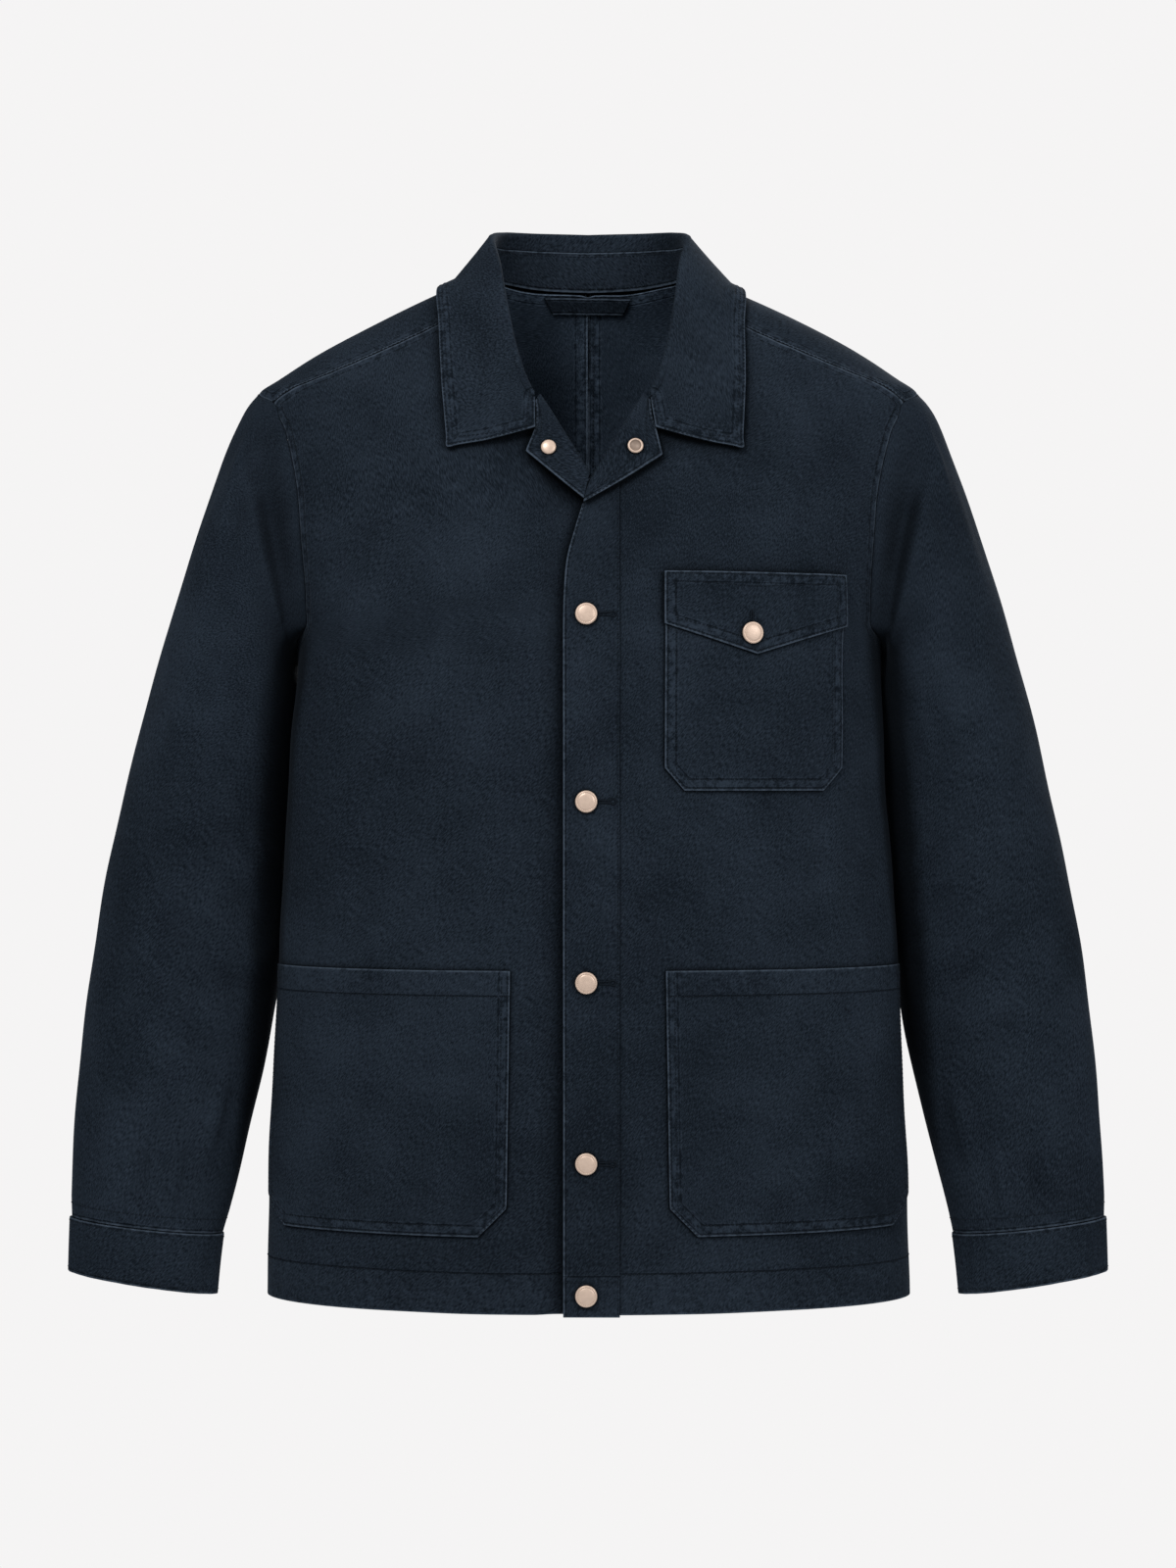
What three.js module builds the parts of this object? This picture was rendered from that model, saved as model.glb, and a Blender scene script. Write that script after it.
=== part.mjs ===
// A chore jacket filled out as it is worn, hollow, in millimetres.
// +Z is up, the front faces -Y, and +X is the wearer's left.
// The origin is where the shoulders carry it: the middle of the neck, level with its side points.
import * as THREE from 'three';
import { mergeVertices } from 'three/addons/utils/BufferGeometryUtils.js';

// Driving sizes
const clothWall = 1.5;
const seamGap = 0.3;
const hemZ = -711;
const sideSeam = 96;
const placketLeft = -17;
const placketRight = 21.8;
const placketLowZ = hemZ - 1.5;
const placketRaise = 0.6;
const placketWall = 2;
const placketBend = 0.78;
const underlapEdge = 19;
const underlapDrop = 1.9;
const lapelRoll = 2.2;
const lapelSpring = 0.6;
const lapelSteps = 10;
const collarRoll = 2.6;
const collarWall = 1.6;
const standSeat = 0.7;
const standShare = 0.7;
const standEndShare = 0.3;
const leafLiftAtRoll = 5.4;
const leafLiftAtEdge = 4;
const cuffWall = 2.4;
const sleeveClear = 1.2;
const sleeveClearAtArmhole = 0.6;
const sleeveRingCount = 20;
const sleeveCrowding = 1.15;
const armholeReach = 3.2;
const armholeFade = 1.5;
const armpitSpread = 110;
const roundSteps = 24;
const armholeGap = 1.3;
const armholeLift = 0.4;
const buttonRadius = 7.5;

// Torso rings, from the neck down: half width, depth to the front and to the back, and squareness
const torsoRings = [
  { z: 24, half: 58, front: 24, back: 50, power: 2 },
  { z: 17, half: 70, front: 36, back: 55, power: 2 },
  { z: 0, half: 110, front: 49, back: 65, power: 2 },
  { z: -20, half: 153, front: 59, back: 76, power: 2 },
  { z: -40, half: 191.5, front: 69, back: 85, power: 2 },
  { z: -60, half: 222, front: 78, back: 93, power: 2.05 },
  { z: -70, half: 235, front: 82, back: 96, power: 2.1 },
  { z: -100, half: 234.5, front: 92, back: 104, power: 2.2 },
  { z: -150, half: 225, front: 105, back: 113, power: 2.3 },
  { z: -200, half: 213, front: 115, back: 118, power: 2.3 },
  { z: -256, half: 207, front: 122, back: 119, power: 2.2 },
  { z: -322, half: 210.5, front: 125, back: 116, power: 2.1 },
  { z: -400, half: 217, front: 126, back: 112, power: 2 },
  { z: -477, half: 221, front: 124, back: 111, power: 2 },
  { z: -600, half: 226, front: 121, back: 114, power: 2 },
  { z: hemZ, half: 229, front: 119, back: 117, power: 2 },
  { z: hemZ - 20, half: 229.5, front: 118.5, back: 117.5, power: 2 },
];

const degrees = Math.PI / 180;
const mix = (from, to, share) => from + (to - from) * share;

// A smooth curve through the rows of a table, read in one column
function follow(rows, axis, value, column) {
  const falling = rows[0][axis] > rows[rows.length - 1][axis];
  const key = falling ? -value : value;
  const keys = rows.map((row) => (falling ? -row[axis] : row[axis]));
  const clamped = Math.min(Math.max(key, keys[0]), keys[keys.length - 1]);
  let low = 0;
  while (low < rows.length - 2 && clamped > keys[low + 1]) low += 1;
  const slope = (index) => {
    const before = Math.max(index - 1, 0);
    const after = Math.min(index + 1, rows.length - 1);
    return (rows[after][column] - rows[before][column]) / (keys[after] - keys[before]);
  };
  const span = keys[low + 1] - keys[low];
  const share = (clamped - keys[low]) / span;
  const square = share * share;
  const cube = square * share;
  return (2 * cube - 3 * square + 1) * rows[low][column]
    + (cube - 2 * square + share) * span * slope(low)
    + (3 * square - 2 * cube) * rows[low + 1][column]
    + (cube - square) * span * slope(low + 1);
}

function ringAt(z) {
  const read = (column) => follow(torsoRings, 'z', z, column);
  return { half: read('half'), front: read('front'), back: read('back'), power: read('power') };
}

// The angle of the torso point with this x, on its front or back
function angleAt(x, z, back) {
  const ring = ringAt(z);
  const depth = back ? ring.back : ring.front;
  const reach = Math.min(Math.abs(x) / ring.half, 1);
  const y = depth * (1 - reach ** ring.power) ** (1 / ring.power);
  const angle = Math.atan2(Math.abs(x), back ? -y : y) / degrees;
  return x < 0 ? -angle : angle;
}

// Soft standing folds of the body: middle angle and height, half spans of each, and how far out
const bodyFolds = [
  { angle: 84, z: -300, spread: 7, length: 70, out: 2.2 },
  { angle: -82, z: -320, spread: 8, length: 80, out: 2.6 },
  { angle: 128, z: -560, spread: 9, length: 190, out: 3.4 },
  { angle: 158, z: -600, spread: 8, length: 150, out: 2.4 },
  { angle: -122, z: -590, spread: 10, length: 180, out: 3 },
  { angle: -150, z: -540, spread: 7, length: 210, out: 2.8 },
  { angle: 142, z: -170, spread: 12, length: 60, out: 2.2 },
  { angle: -140, z: -190, spread: 11, length: 70, out: 2.6 },
];

// Lines sewn on the torso, as x and z seen from the front or the back
const neckLine = [
  { x: 0, z: 9, back: true },
  { x: 34, z: 10, back: true },
  { x: 60, z: 12.5, back: true },
  { x: 72, z: 15, back: false },
  { x: 73, z: -4, back: false },
];
// The open neck sits a little to the wearer's left: each shift is added towards +X on both sides
const neckFront = [
  { x: 73, z: -4, back: false, shift: 0 },
  { x: 68, z: -27, back: false, shift: 0 },
  { x: 58, z: -55, back: false, shift: 1 },
  { x: 46, z: -75, back: false, shift: 2.1 },
  { x: 38.6, z: -80, back: false, shift: 3 },
];
const shoulderLine = [
  { x: 73, z: -4, back: false },
  { x: 105, z: -24.5, back: false },
  { x: 150, z: -45.5, back: false },
  { x: 223, z: -79, back: false },
];
const armholeFront = [
  { x: 206, z: -256, back: false },
  { x: 200.5, z: -240, back: false },
  { x: 198.2, z: -224, back: false },
  { x: 199.6, z: -193, back: false },
  { x: 202, z: -158, back: false },
  { x: 205.6, z: -133, back: false },
  { x: 212.6, z: -103, back: false },
  { x: 217.8, z: -91, back: false },
  { x: 223, z: -79, back: false },
];
const armholeBack = [
  { x: 206, z: -256, back: true },
  { x: 202, z: -240, back: true },
  { x: 202, z: -215, back: true },
  { x: 205, z: -175, back: true },
  { x: 209, z: -138, back: true },
  { x: 218, z: -100, back: true },
  { x: 229, z: -74, back: true },
];
const armholeTop = { x: 232.5, z: -70, back: false };
const shoulderPoint = { x: 223, z: -78.7, back: false };
const underlapBreak = { x: -7.5, z: -150 };
const underlapBend = { x: -17, z: -188 };
const foldOverPlacket = { x: placketRight, z: -112.2 };
const placketEdgeCurve = [
  { x: placketLeft, z: -232 },
  { x: -16.4, z: -214 },
  { x: -14.6, z: -194 },
  { x: -10, z: -176 },
  { x: -4, z: -156 },
];

// Sleeve rings: top point, under point, half depth, and how far back the middle lies
const sleeveRings = [
  { at: 0, topX: 233, topZ: -70, lowX: 206.5, lowZ: -256, depth: 53, back: 4 },
  { at: 1, topX: 246, topZ: -84, lowX: 209.5, lowZ: -262, depth: 57, back: 6 },
  { at: 2, topX: 258, topZ: -109, lowX: 209.5, lowZ: -270, depth: 62, back: 10 },
  { at: 3, topX: 273.5, topZ: -150, lowX: 207.5, lowZ: -284, depth: 70, back: 16 },
  { at: 4, topX: 293, topZ: -207, lowX: 208, lowZ: -306, depth: 76, back: 22 },
  { at: 5, topX: 310, topZ: -263, lowX: 209.5, lowZ: -333, depth: 77, back: 26 },
  { at: 6, topX: 325.3, topZ: -320, lowX: 212, lowZ: -368, depth: 73, back: 27 },
  { at: 7, topX: 338.2, topZ: -376, lowX: 215, lowZ: -410, depth: 66, back: 26 },
  { at: 8, topX: 349.3, topZ: -433, lowX: 218.5, lowZ: -457, depth: 59, back: 24 },
  { at: 9, topX: 358, topZ: -489, lowX: 225, lowZ: -505, depth: 52, back: 20 },
  { at: 10, topX: 364.3, topZ: -545, lowX: 233.6, lowZ: -556, depth: 45, back: 14 },
  { at: 11, topX: 368, topZ: -600, lowX: 246.5, lowZ: -610, depth: 38, back: 8 },
  { at: 12, topX: 368.8, topZ: -656, lowX: 261, lowZ: -668, depth: 34, back: 3 },
];
const cuffRings = [
  { at: 0, topX: 370.2, topZ: -656.6, lowX: 260, lowZ: -668.8, depth: 35, back: 3 },
  { at: 1, topX: 370.6, topZ: -676, lowX: 262.4, lowZ: -690, depth: 32.5, back: 1 },
  { at: 2, topX: 371, topZ: -695, lowX: 264.4, lowZ: -711.5, depth: 30, back: 0 },
];
// Creases of a sleeve: where along and around it, half spans of each, and how far out
const sleeveFolds = [
  { at: 2.6, round: 38, length: 1.8, spread: 15, out: 2.6 },
  { at: 3.4, round: 320, length: 2, spread: 16, out: 2.4 },
  { at: 7.3, round: 112, length: 0.42, spread: 44, out: 2.6 },
  { at: 8.4, round: 128, length: 0.38, spread: 40, out: 3 },
  { at: 9.3, round: 104, length: 0.4, spread: 36, out: 2.4 },
  { at: 8, round: 238, length: 0.45, spread: 40, out: 2.8 },
  { at: 9.1, round: 222, length: 0.36, spread: 36, out: 2.2 },
  { at: 11.2, round: 60, length: 0.7, spread: 12, out: 1.8 },
  { at: 11.1, round: 300, length: 0.8, spread: 13, out: 2 },
];

// Collar sections from the middle of the back to the front end: neck seam, roll and outer edge.
// A shift is added towards +X on both sides, and a turn is the same in degrees round the neck.
const collarEnd = 8;
const collarRows = [
  { at: 0, neckX: 0, neckZ: 9.6, neckBack: true, neckTurn: 0,
    rollX: 0, rollY: 63, rollZ: 53, rollShift: 0,
    edgeX: 0, edgeY: 78, edgeZ: -14, edgeShift: 0 },
  { at: 1, neckX: 34, neckZ: 10.6, neckBack: true, neckTurn: 0,
    rollX: 36, rollY: 54, rollZ: 52.5, rollShift: 0.6,
    edgeX: 47, edgeY: 72, edgeZ: -13, edgeShift: 0.7 },
  { at: 2, neckX: 60, neckZ: 13, neckBack: true, neckTurn: 0,
    rollX: 59, rollY: 28, rollZ: 49, rollShift: 1.3,
    edgeX: 88, edgeY: 42, edgeZ: -6, edgeShift: 1.6 },
  { at: 3, neckX: 72, neckZ: 15.4, neckBack: false, neckTurn: 0,
    rollX: 67, rollY: -4, rollZ: 41, rollShift: 1.3,
    edgeX: 105, edgeY: 0, edgeZ: 3, edgeShift: 2.5 },
  { at: 4, neckX: 73, neckZ: -4, neckBack: false, neckTurn: 0,
    rollX: 62.6, rollY: -37, rollZ: 18, rollShift: 1.3,
    edgeX: 106.4, edgeY: -50, edgeZ: -27, edgeShift: 2.7 },
  { at: 5, neckX: 69, neckZ: -23, neckBack: false, neckTurn: 0,
    rollX: 58, rollY: -61, rollZ: -10, rollShift: 1.9,
    edgeX: 104.2, edgeY: -70, edgeZ: -70, edgeShift: 3.8 },
  { at: 5.8, neckX: 61.4, neckZ: -48, neckBack: false, neckTurn: 0.4,
    rollX: 53.6, rollY: -77, rollZ: -34.5, rollShift: 2.3,
    edgeX: 102, edgeY: -89, edgeZ: -109, edgeShift: 4.7 },
  { at: 6, neckX: 59, neckZ: -53, neckBack: false, neckTurn: 0.5,
    rollX: 52.5, rollY: -80, rollZ: -40, rollShift: 2.4,
    edgeX: 101.8, edgeY: -90, edgeZ: -116.5, edgeShift: 5 },
  { at: 6.2, neckX: 57, neckZ: -57, neckBack: false, neckTurn: 0.6,
    rollX: 51.3, rollY: -82, rollZ: -45, rollShift: 2.5,
    edgeX: 95, edgeY: -91.5, edgeZ: -115.2, edgeShift: 5 },
  { at: 7, neckX: 49, neckZ: -71.5, neckBack: false, neckTurn: 1.1,
    rollX: 46, rollY: -89, rollZ: -63, rollShift: 2.7,
    edgeX: 68, edgeY: -98, edgeZ: -109.4, edgeShift: 5 },
  { at: 8, neckX: 40.2, neckZ: -79.4, neckBack: false, neckTurn: 1.66,
    rollX: 40.8, rollY: -88.5, rollZ: -75.5, rollShift: 2.7,
    edgeX: 41.4, edgeY: -98, edgeZ: -102.2, edgeShift: 5.1 },
].map((row) => ({ ...row, neckAngle: angleAt(row.neckX, row.neckZ, row.neckBack) }));

// Turned-back front tops, seen from the front: fold and free edge from the collar down to the break
const lapelRightRows = [
  { at: 0, foldX: -34.6, foldZ: -81.6, edgeX: -35.6, edgeZ: -84.6 },
  { at: 1, foldX: -29.6, foldZ: -89, edgeX: -34.2, edgeZ: -93.5 },
  { at: 2, foldX: -24.8, foldZ: -96.8, edgeX: -34.8, edgeZ: -105 },
  { at: 3, foldX: -19.8, foldZ: -105, edgeX: -42.4, edgeZ: -119.5 },
  { at: 4, foldX: -8.6, foldZ: -123, edgeX: -23.5, edgeZ: -133.6 },
  { at: 5, foldX: 0.4, foldZ: -137.8, edgeX: -5.9, edgeZ: -151.5 },
];
const lapelLeftRows = [
  { at: 0, foldX: 40.2, foldZ: -81, edgeX: 42.2, edgeZ: -84 },
  { at: 1, foldX: 35, foldZ: -89.4, edgeX: 43, edgeZ: -95.5 },
  { at: 2, foldX: 29.9, foldZ: -97.6, edgeX: 45.4, edgeZ: -105.5 },
  { at: 3, foldX: 24.6, foldZ: -106, edgeX: 50.9, edgeZ: -122 },
  { at: 4, foldX: 11.5, foldZ: -127.5, edgeX: 26, edgeZ: -137.6 },
  { at: 5, foldX: -0.4, foldZ: -146, edgeX: 4.8, edgeZ: -151.6 },
];

// Patch pockets: rows from the top edge down, with the edge near the middle and the outer edge.
// The outer edge of a hip pocket is an angle round the body, because it lies at its side.
const chestPocketRows = [
  { z: -206, inner: 53, outer: 177 },
  { z: -337, inner: 52, outer: 175.6 },
  { z: -352.7, inner: 65.5, outer: 162 },
];
const flapTopZ = -202.6;
const flapSideZ = -238.5;
const flapTipZ = -259;
const flapInner = 52;
const flapOuter = 178.4;
const hipPocketRows = [
  { z: -475.5, inner: 53, outer: 86.5 },
  { z: -641, inner: 55.5, outer: 86.5 },
  { z: -658, inner: 75, outer: 78.5 },
];

const frontButtons = [-232, -360, -483.6, -607.2, -697.6];
const frontButtonX = -1.2;
const flapButton = { x: 111.5, z: -244.5 };
const lapelStud = { x: -27, z: -117.6 };
const lapelRing = { x: 32.4, z: -117.2 };
const loopTopHalf = 32;
const loopBottomHalf = 26;
const loopTopZ = 7.6;
const loopBottomZ = -3.6;
const loopWall = 1.2;
const loopLift = 1.1;
const pocketLift = 0.45;

const navy = new THREE.MeshStandardMaterial({ color: 0x1f2731, roughness: 0.92, metalness: 0 });
const navyInside = new THREE.MeshStandardMaterial({ color: 0x1a212a, roughness: 0.94, metalness: 0 });
const copper = new THREE.MeshStandardMaterial({ color: 0xd0b4a2, roughness: 0.35, metalness: 0.9 });

const bump = (distance, reach) => {
  const share = Math.min(Math.abs(distance) / reach, 1);
  return (1 - share * share) ** 2;
};

function foldHeight(angle, z) {
  let height = 0;
  for (const fold of bodyFolds) {
    height += fold.out * bump(angle - fold.angle, fold.spread) * bump(z - fold.z, fold.length);
  }
  return height;
}

// A bare point of the torso: angle 0 is the middle of the front, 90 the left side, 180 the back
function bareTorso(angle, z) {
  const ring = ringAt(z);
  const sine = Math.sin(angle * degrees);
  const cosine = Math.cos(angle * degrees);
  const depth = cosine > 0 ? ring.front : ring.back;
  const across = Math.abs(sine / ring.half) ** ring.power;
  const along = Math.abs(cosine / depth) ** ring.power;
  const radius = (across + along) ** (-1 / ring.power);
  return new THREE.Vector3(radius * sine, -radius * cosine, z);
}

function torsoNormal(angle, z) {
  const step = 0.5;
  const round = bareTorso(angle + step, z).sub(bareTorso(angle - step, z));
  const up = bareTorso(angle, z + step).sub(bareTorso(angle, z - step));
  return round.cross(up).normalize();
}

function torsoPoint(angle, z, out) {
  const lift = out + foldHeight(angle, z);
  return bareTorso(angle, z).addScaledVector(torsoNormal(angle, z), lift);
}

const frontPoint = (x, z, out) => torsoPoint(angleAt(x, z, false), z, out);

// How far a point lies outside the torso, and the way out
function outsideTorso(point) {
  const level = (x, y, z) => {
    const ring = ringAt(z);
    const depth = y < 0 ? ring.front : ring.back;
    const across = Math.abs(x / ring.half) ** ring.power;
    return (across + Math.abs(y / depth) ** ring.power) ** (1 / ring.power) - 1;
  };
  const step = 0.5;
  const { x, y, z } = point;
  const way = new THREE.Vector3(
    level(x + step, y, z) - level(x - step, y, z),
    level(x, y + step, z) - level(x, y - step, z),
    level(x, y, z + step) - level(x, y, z - step),
  ).divideScalar(2 * step);
  const steepness = way.length();
  return { distance: level(x, y, z) / steepness, way: way.divideScalar(steepness) };
}

function liftedClear(point, clearance) {
  const clear = point.clone();
  for (let pass = 0; pass < 4; pass += 1) {
    const { distance, way } = outsideTorso(clear);
    if (distance < clearance) clear.addScaledVector(way, clearance - distance);
  }
  return clear;
}

// A closed body from a grid of outer and inner points; a tube's last column meets its first
function wallGeometry(outer, inner, closedRound) {
  const rows = outer.length;
  const columns = outer[0].length;
  const positions = [];
  for (const grid of [outer, inner]) {
    for (const row of grid) for (const point of row) positions.push(point.x, point.y, point.z);
  }
  const faces = [];
  const index = (side, row, column) => side * rows * columns + row * columns + (column % columns);
  const quad = (a, b, c, d) => faces.push(a, b, c, a, c, d);
  const lastColumn = closedRound ? columns : columns - 1;
  for (let row = 0; row < rows - 1; row += 1) {
    for (let column = 0; column < lastColumn; column += 1) {
      quad(index(0, row, column), index(0, row, column + 1),
        index(0, row + 1, column + 1), index(0, row + 1, column));
      quad(index(1, row, column), index(1, row + 1, column),
        index(1, row + 1, column + 1), index(1, row, column + 1));
    }
  }
  for (let column = 0; column < lastColumn; column += 1) {
    quad(index(0, 0, column + 1), index(0, 0, column),
      index(1, 0, column), index(1, 0, column + 1));
    quad(index(0, rows - 1, column), index(0, rows - 1, column + 1),
      index(1, rows - 1, column + 1), index(1, rows - 1, column));
  }
  if (!closedRound) {
    for (let row = 0; row < rows - 1; row += 1) {
      quad(index(0, row, 0), index(0, row + 1, 0), index(1, row + 1, 0), index(1, row, 0));
      quad(index(0, row + 1, columns - 1), index(0, row, columns - 1),
        index(1, row, columns - 1), index(1, row + 1, columns - 1));
    }
  }
  const geometry = new THREE.BufferGeometry();
  geometry.setAttribute('position', new THREE.Float32BufferAttribute(positions, 3));
  geometry.setIndex(faces);
  return facedOutward(geometry);
}

// A mirrored grid winds the other way, so a body with negative volume is turned
function facedOutward(geometry) {
  const position = geometry.getAttribute('position');
  const faces = geometry.index.array;
  const corner = [new THREE.Vector3(), new THREE.Vector3(), new THREE.Vector3()];
  let volume = 0;
  for (let face = 0; face < faces.length; face += 3) {
    corner.forEach((point, step) => point.fromBufferAttribute(position, faces[face + step]));
    volume += corner[0].dot(corner[1].clone().cross(corner[2]));
  }
  if (volume < 0) {
    for (let face = 0; face < faces.length; face += 3) {
      [faces[face + 1], faces[face + 2]] = [faces[face + 2], faces[face + 1]];
    }
  }
  return geometry;
}

// A wall of even thickness about a grid of middle points
function wallAbout(middle, wall) {
  const rows = middle.length;
  const columns = middle[0].length;
  const normalAt = (row, column) => {
    const left = middle[row][Math.max(column - 1, 0)];
    const right = middle[row][Math.min(column + 1, columns - 1)];
    const above = middle[Math.max(row - 1, 0)][column];
    const below = middle[Math.min(row + 1, rows - 1)][column];
    return right.clone().sub(left).cross(below.clone().sub(above)).normalize();
  };
  const shifted = (way) => middle.map((row, r) => row.map((point, c) => (
    point.clone().addScaledVector(normalAt(r, c), way * wall / 2))));
  return wallGeometry(shifted(1), shifted(-1), false);
}

// Edges of a panel, as chains of curves on the torso, read by a share from 0 to 1
const onTorso = (row, side) => ({ angle: side * angleAt(row.x, row.z, row.back), z: row.z });
const stationsOf = (rows, side) => rows.map((row) => onTorso(row, side));

function curveThrough(points) {
  const rows = points.map((point, index) => ({ ...point, index }));
  const steps = 12 * (rows.length - 1);
  const dense = [];
  for (let step = 0; step <= steps; step += 1) {
    const at = (rows.length - 1) * step / steps;
    dense.push({ angle: follow(rows, 'index', at, 'angle'), z: follow(rows, 'index', at, 'z') });
  }
  const lengths = [0];
  for (let step = 1; step <= steps; step += 1) {
    const before = bareTorso(dense[step - 1].angle, dense[step - 1].z);
    const length = before.distanceTo(bareTorso(dense[step].angle, dense[step].z));
    lengths.push(lengths[step - 1] + length);
  }
  return (share) => {
    const goal = share * lengths[steps];
    let low = 0;
    while (low < steps - 1 && goal > lengths[low + 1]) low += 1;
    const part = Math.min((goal - lengths[low]) / (lengths[low + 1] - lengths[low]), 1);
    return {
      angle: mix(dense[low].angle, dense[low + 1].angle, part),
      z: mix(dense[low].z, dense[low + 1].z, part),
    };
  };
}

function chain(links) {
  const curves = links.map((link) => ({ until: link.until, read: curveThrough(link.points) }));
  return (share) => {
    let from = 0;
    for (const curve of curves) {
      if (share <= curve.until + 1e-9) return curve.read((share - from) / (curve.until - from));
      from = curve.until;
    }
    return curves[curves.length - 1].read(1);
  };
}

// A panel between four edges on the torso: its points are spread evenly between them
function panelPoint(edges, across, up) {
  const corner = (u, v) => (v === 0 ? edges.bottom(u) : edges.top(u));
  const value = {};
  for (const key of ['angle', 'z']) {
    const sides = mix(edges.inner(up)[key], edges.outer(up)[key], across);
    const ends = mix(edges.bottom(across)[key], edges.top(across)[key], up);
    const corners = mix(
      mix(corner(0, 0)[key], corner(1, 0)[key], across),
      mix(corner(0, 1)[key], corner(1, 1)[key], across),
      up,
    );
    value[key] = sides + ends - corners;
  }
  return value;
}

function stations(spans) {
  const list = [0];
  let from = 0;
  for (const span of spans) {
    for (let step = 1; step <= span.steps; step += 1) {
      list.push(mix(from, span.until, step / span.steps));
    }
    from = span.until;
  }
  return list;
}

function panelGeometry(edges, acrossStations, upStations, dropAt) {
  const gridAt = (depth) => upStations.map((up) => acrossStations.map((across) => {
    const place = panelPoint(edges, across, up);
    return torsoPoint(place.angle, place.z, -depth - dropAt(place));
  }));
  return wallGeometry(gridAt(0), gridAt(clothWall), false);
}

const armpitShare = 0.66;
const breakShare = 0.86;
const foldShare = 0.9;
const backArmpitShare = 0.55;
const backNeckShare = 0.86;
const evenly = (steps) => stations([{ until: 1, steps }]);
const frontUp = stations([
  { until: armpitShare, steps: 12 }, { until: breakShare, steps: 6 },
  { until: foldShare, steps: 1 }, { until: 1, steps: 3 },
]);
const backUp = stations([
  { until: backArmpitShare, steps: 11 }, { until: backNeckShare, steps: 7 }, { until: 1, steps: 5 },
]);
// Columns lie closer together near the front edges and round the sides
const panelAcross = stations([
  { until: 0.2, steps: 4 }, { until: 0.68, steps: 4 }, { until: 1, steps: 6 },
]);

// The neck from its front end up, where the front's top folds back
const neckFrontOn = (side) => [...neckFront].reverse().map((row) => (
  { ...row, x: row.x + side * row.shift }));

// Half of the seam gap is taken from each piece, as an angle at the side and back seams
const gapAngle = 0.06;

function outerEdge(side, seamAngle, armhole, armpitAt) {
  const seam = side * seamAngle;
  const armpit = { angle: seam, z: armhole[0].z };
  const above = stationsOf(armhole, side);
  above[0] = armpit;
  return chain([
    { until: armpitAt, points: [{ angle: seam, z: hemZ }, armpit] },
    { until: 1, points: above },
  ]);
}

function frontPanel(side, innerLinks) {
  const outer = outerEdge(side, sideSeam - gapAngle, armholeFront, armpitShare);
  const inner = chain(innerLinks);
  const seam = stationsOf(shoulderLine, side).map((place) => ({ ...place, z: place.z - seamGap / 2 }));
  const top = chain([{ until: 1, points: seam }]);
  const hem = [{ angle: inner(0).angle, z: hemZ }, { angle: outer(0).angle, z: hemZ }];
  return { inner, outer, top, bottom: chain([{ until: 1, points: hem }]) };
}

// An upright line of the front, with enough places to follow the torso
const upright = (x, low, high) => evenly(6).map((share) => ({ x, z: mix(low, high, share) }));

function frontLeft() {
  const edgeX = placketRight + seamGap;
  const fold = { x: edgeX, z: foldOverPlacket.z };
  const links = [
    { until: armpitShare, points: stationsOf(upright(edgeX, hemZ, armholeFront[0].z), 1) },
    { until: breakShare, points: stationsOf(upright(edgeX, armholeFront[0].z, foldOverPlacket.z), 1) },
    { until: foldShare, points: stationsOf([fold, neckFrontOn(1)[0]], 1) },
    { until: 1, points: stationsOf(neckFrontOn(1), 1) },
  ];
  return panelGeometry(frontPanel(1, links), panelAcross, frontUp, () => 0);
}

// The wearer's right front runs on past the middle under the other one, a step lower.
// Its places are seen from its own side, so those past the middle have a negative x.
function frontRight() {
  const side = -1;
  const stepFrom = 44;
  const stepTo = 21;
  const armpit = { x: -underlapEdge, z: armholeFront[0].z };
  const links = [
    { until: armpitShare, points: stationsOf(upright(armpit.x, hemZ, armpit.z), side) },
    { until: breakShare, points: stationsOf([armpit, underlapBend, underlapBreak], side) },
    { until: foldShare, points: stationsOf([underlapBreak, neckFrontOn(side)[0]], side) },
    { until: 1, points: stationsOf(neckFrontOn(side), side) },
  ];
  const dropAt = (place) => {
    const x = -bareTorso(place.angle, place.z).x;
    const share = Math.min(Math.max((stepFrom - x) / (stepFrom - stepTo), 0), 1);
    return underlapDrop * share * share * (3 - 2 * share);
  };
  return panelGeometry(frontPanel(side, links), panelAcross, frontUp, dropAt);
}

// The back's inner edge runs up its middle, and then round the neck to the shoulder seam
function backPanel(side) {
  const middle = side * (180 - gapAngle);
  const armpitZ = armholeBack[0].z;
  const neck = stationsOf(neckLine, side);
  neck[0] = { angle: middle, z: neckLine[0].z };
  const inner = chain([
    { until: backArmpitShare, points: [{ angle: middle, z: hemZ }, { angle: middle, z: armpitZ }] },
    { until: backNeckShare, points: [{ angle: middle, z: armpitZ }, neck[0]] },
    { until: 1, points: neck },
  ]);
  const armhole = [...armholeBack, armholeTop, shoulderPoint];
  const outer = outerEdge(side, sideSeam + gapAngle, armhole, backArmpitShare);
  const shoulder = stationsOf(shoulderLine, side).map((place) => ({ ...place, z: place.z + seamGap / 2 }));
  const edges = {
    inner, outer, top: chain([{ until: 1, points: shoulder }]),
    bottom: chain([{ until: 1, points: [inner(0), outer(0)] }]),
  };
  return panelGeometry(edges, panelAcross, backUp, () => 0);
}

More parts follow.
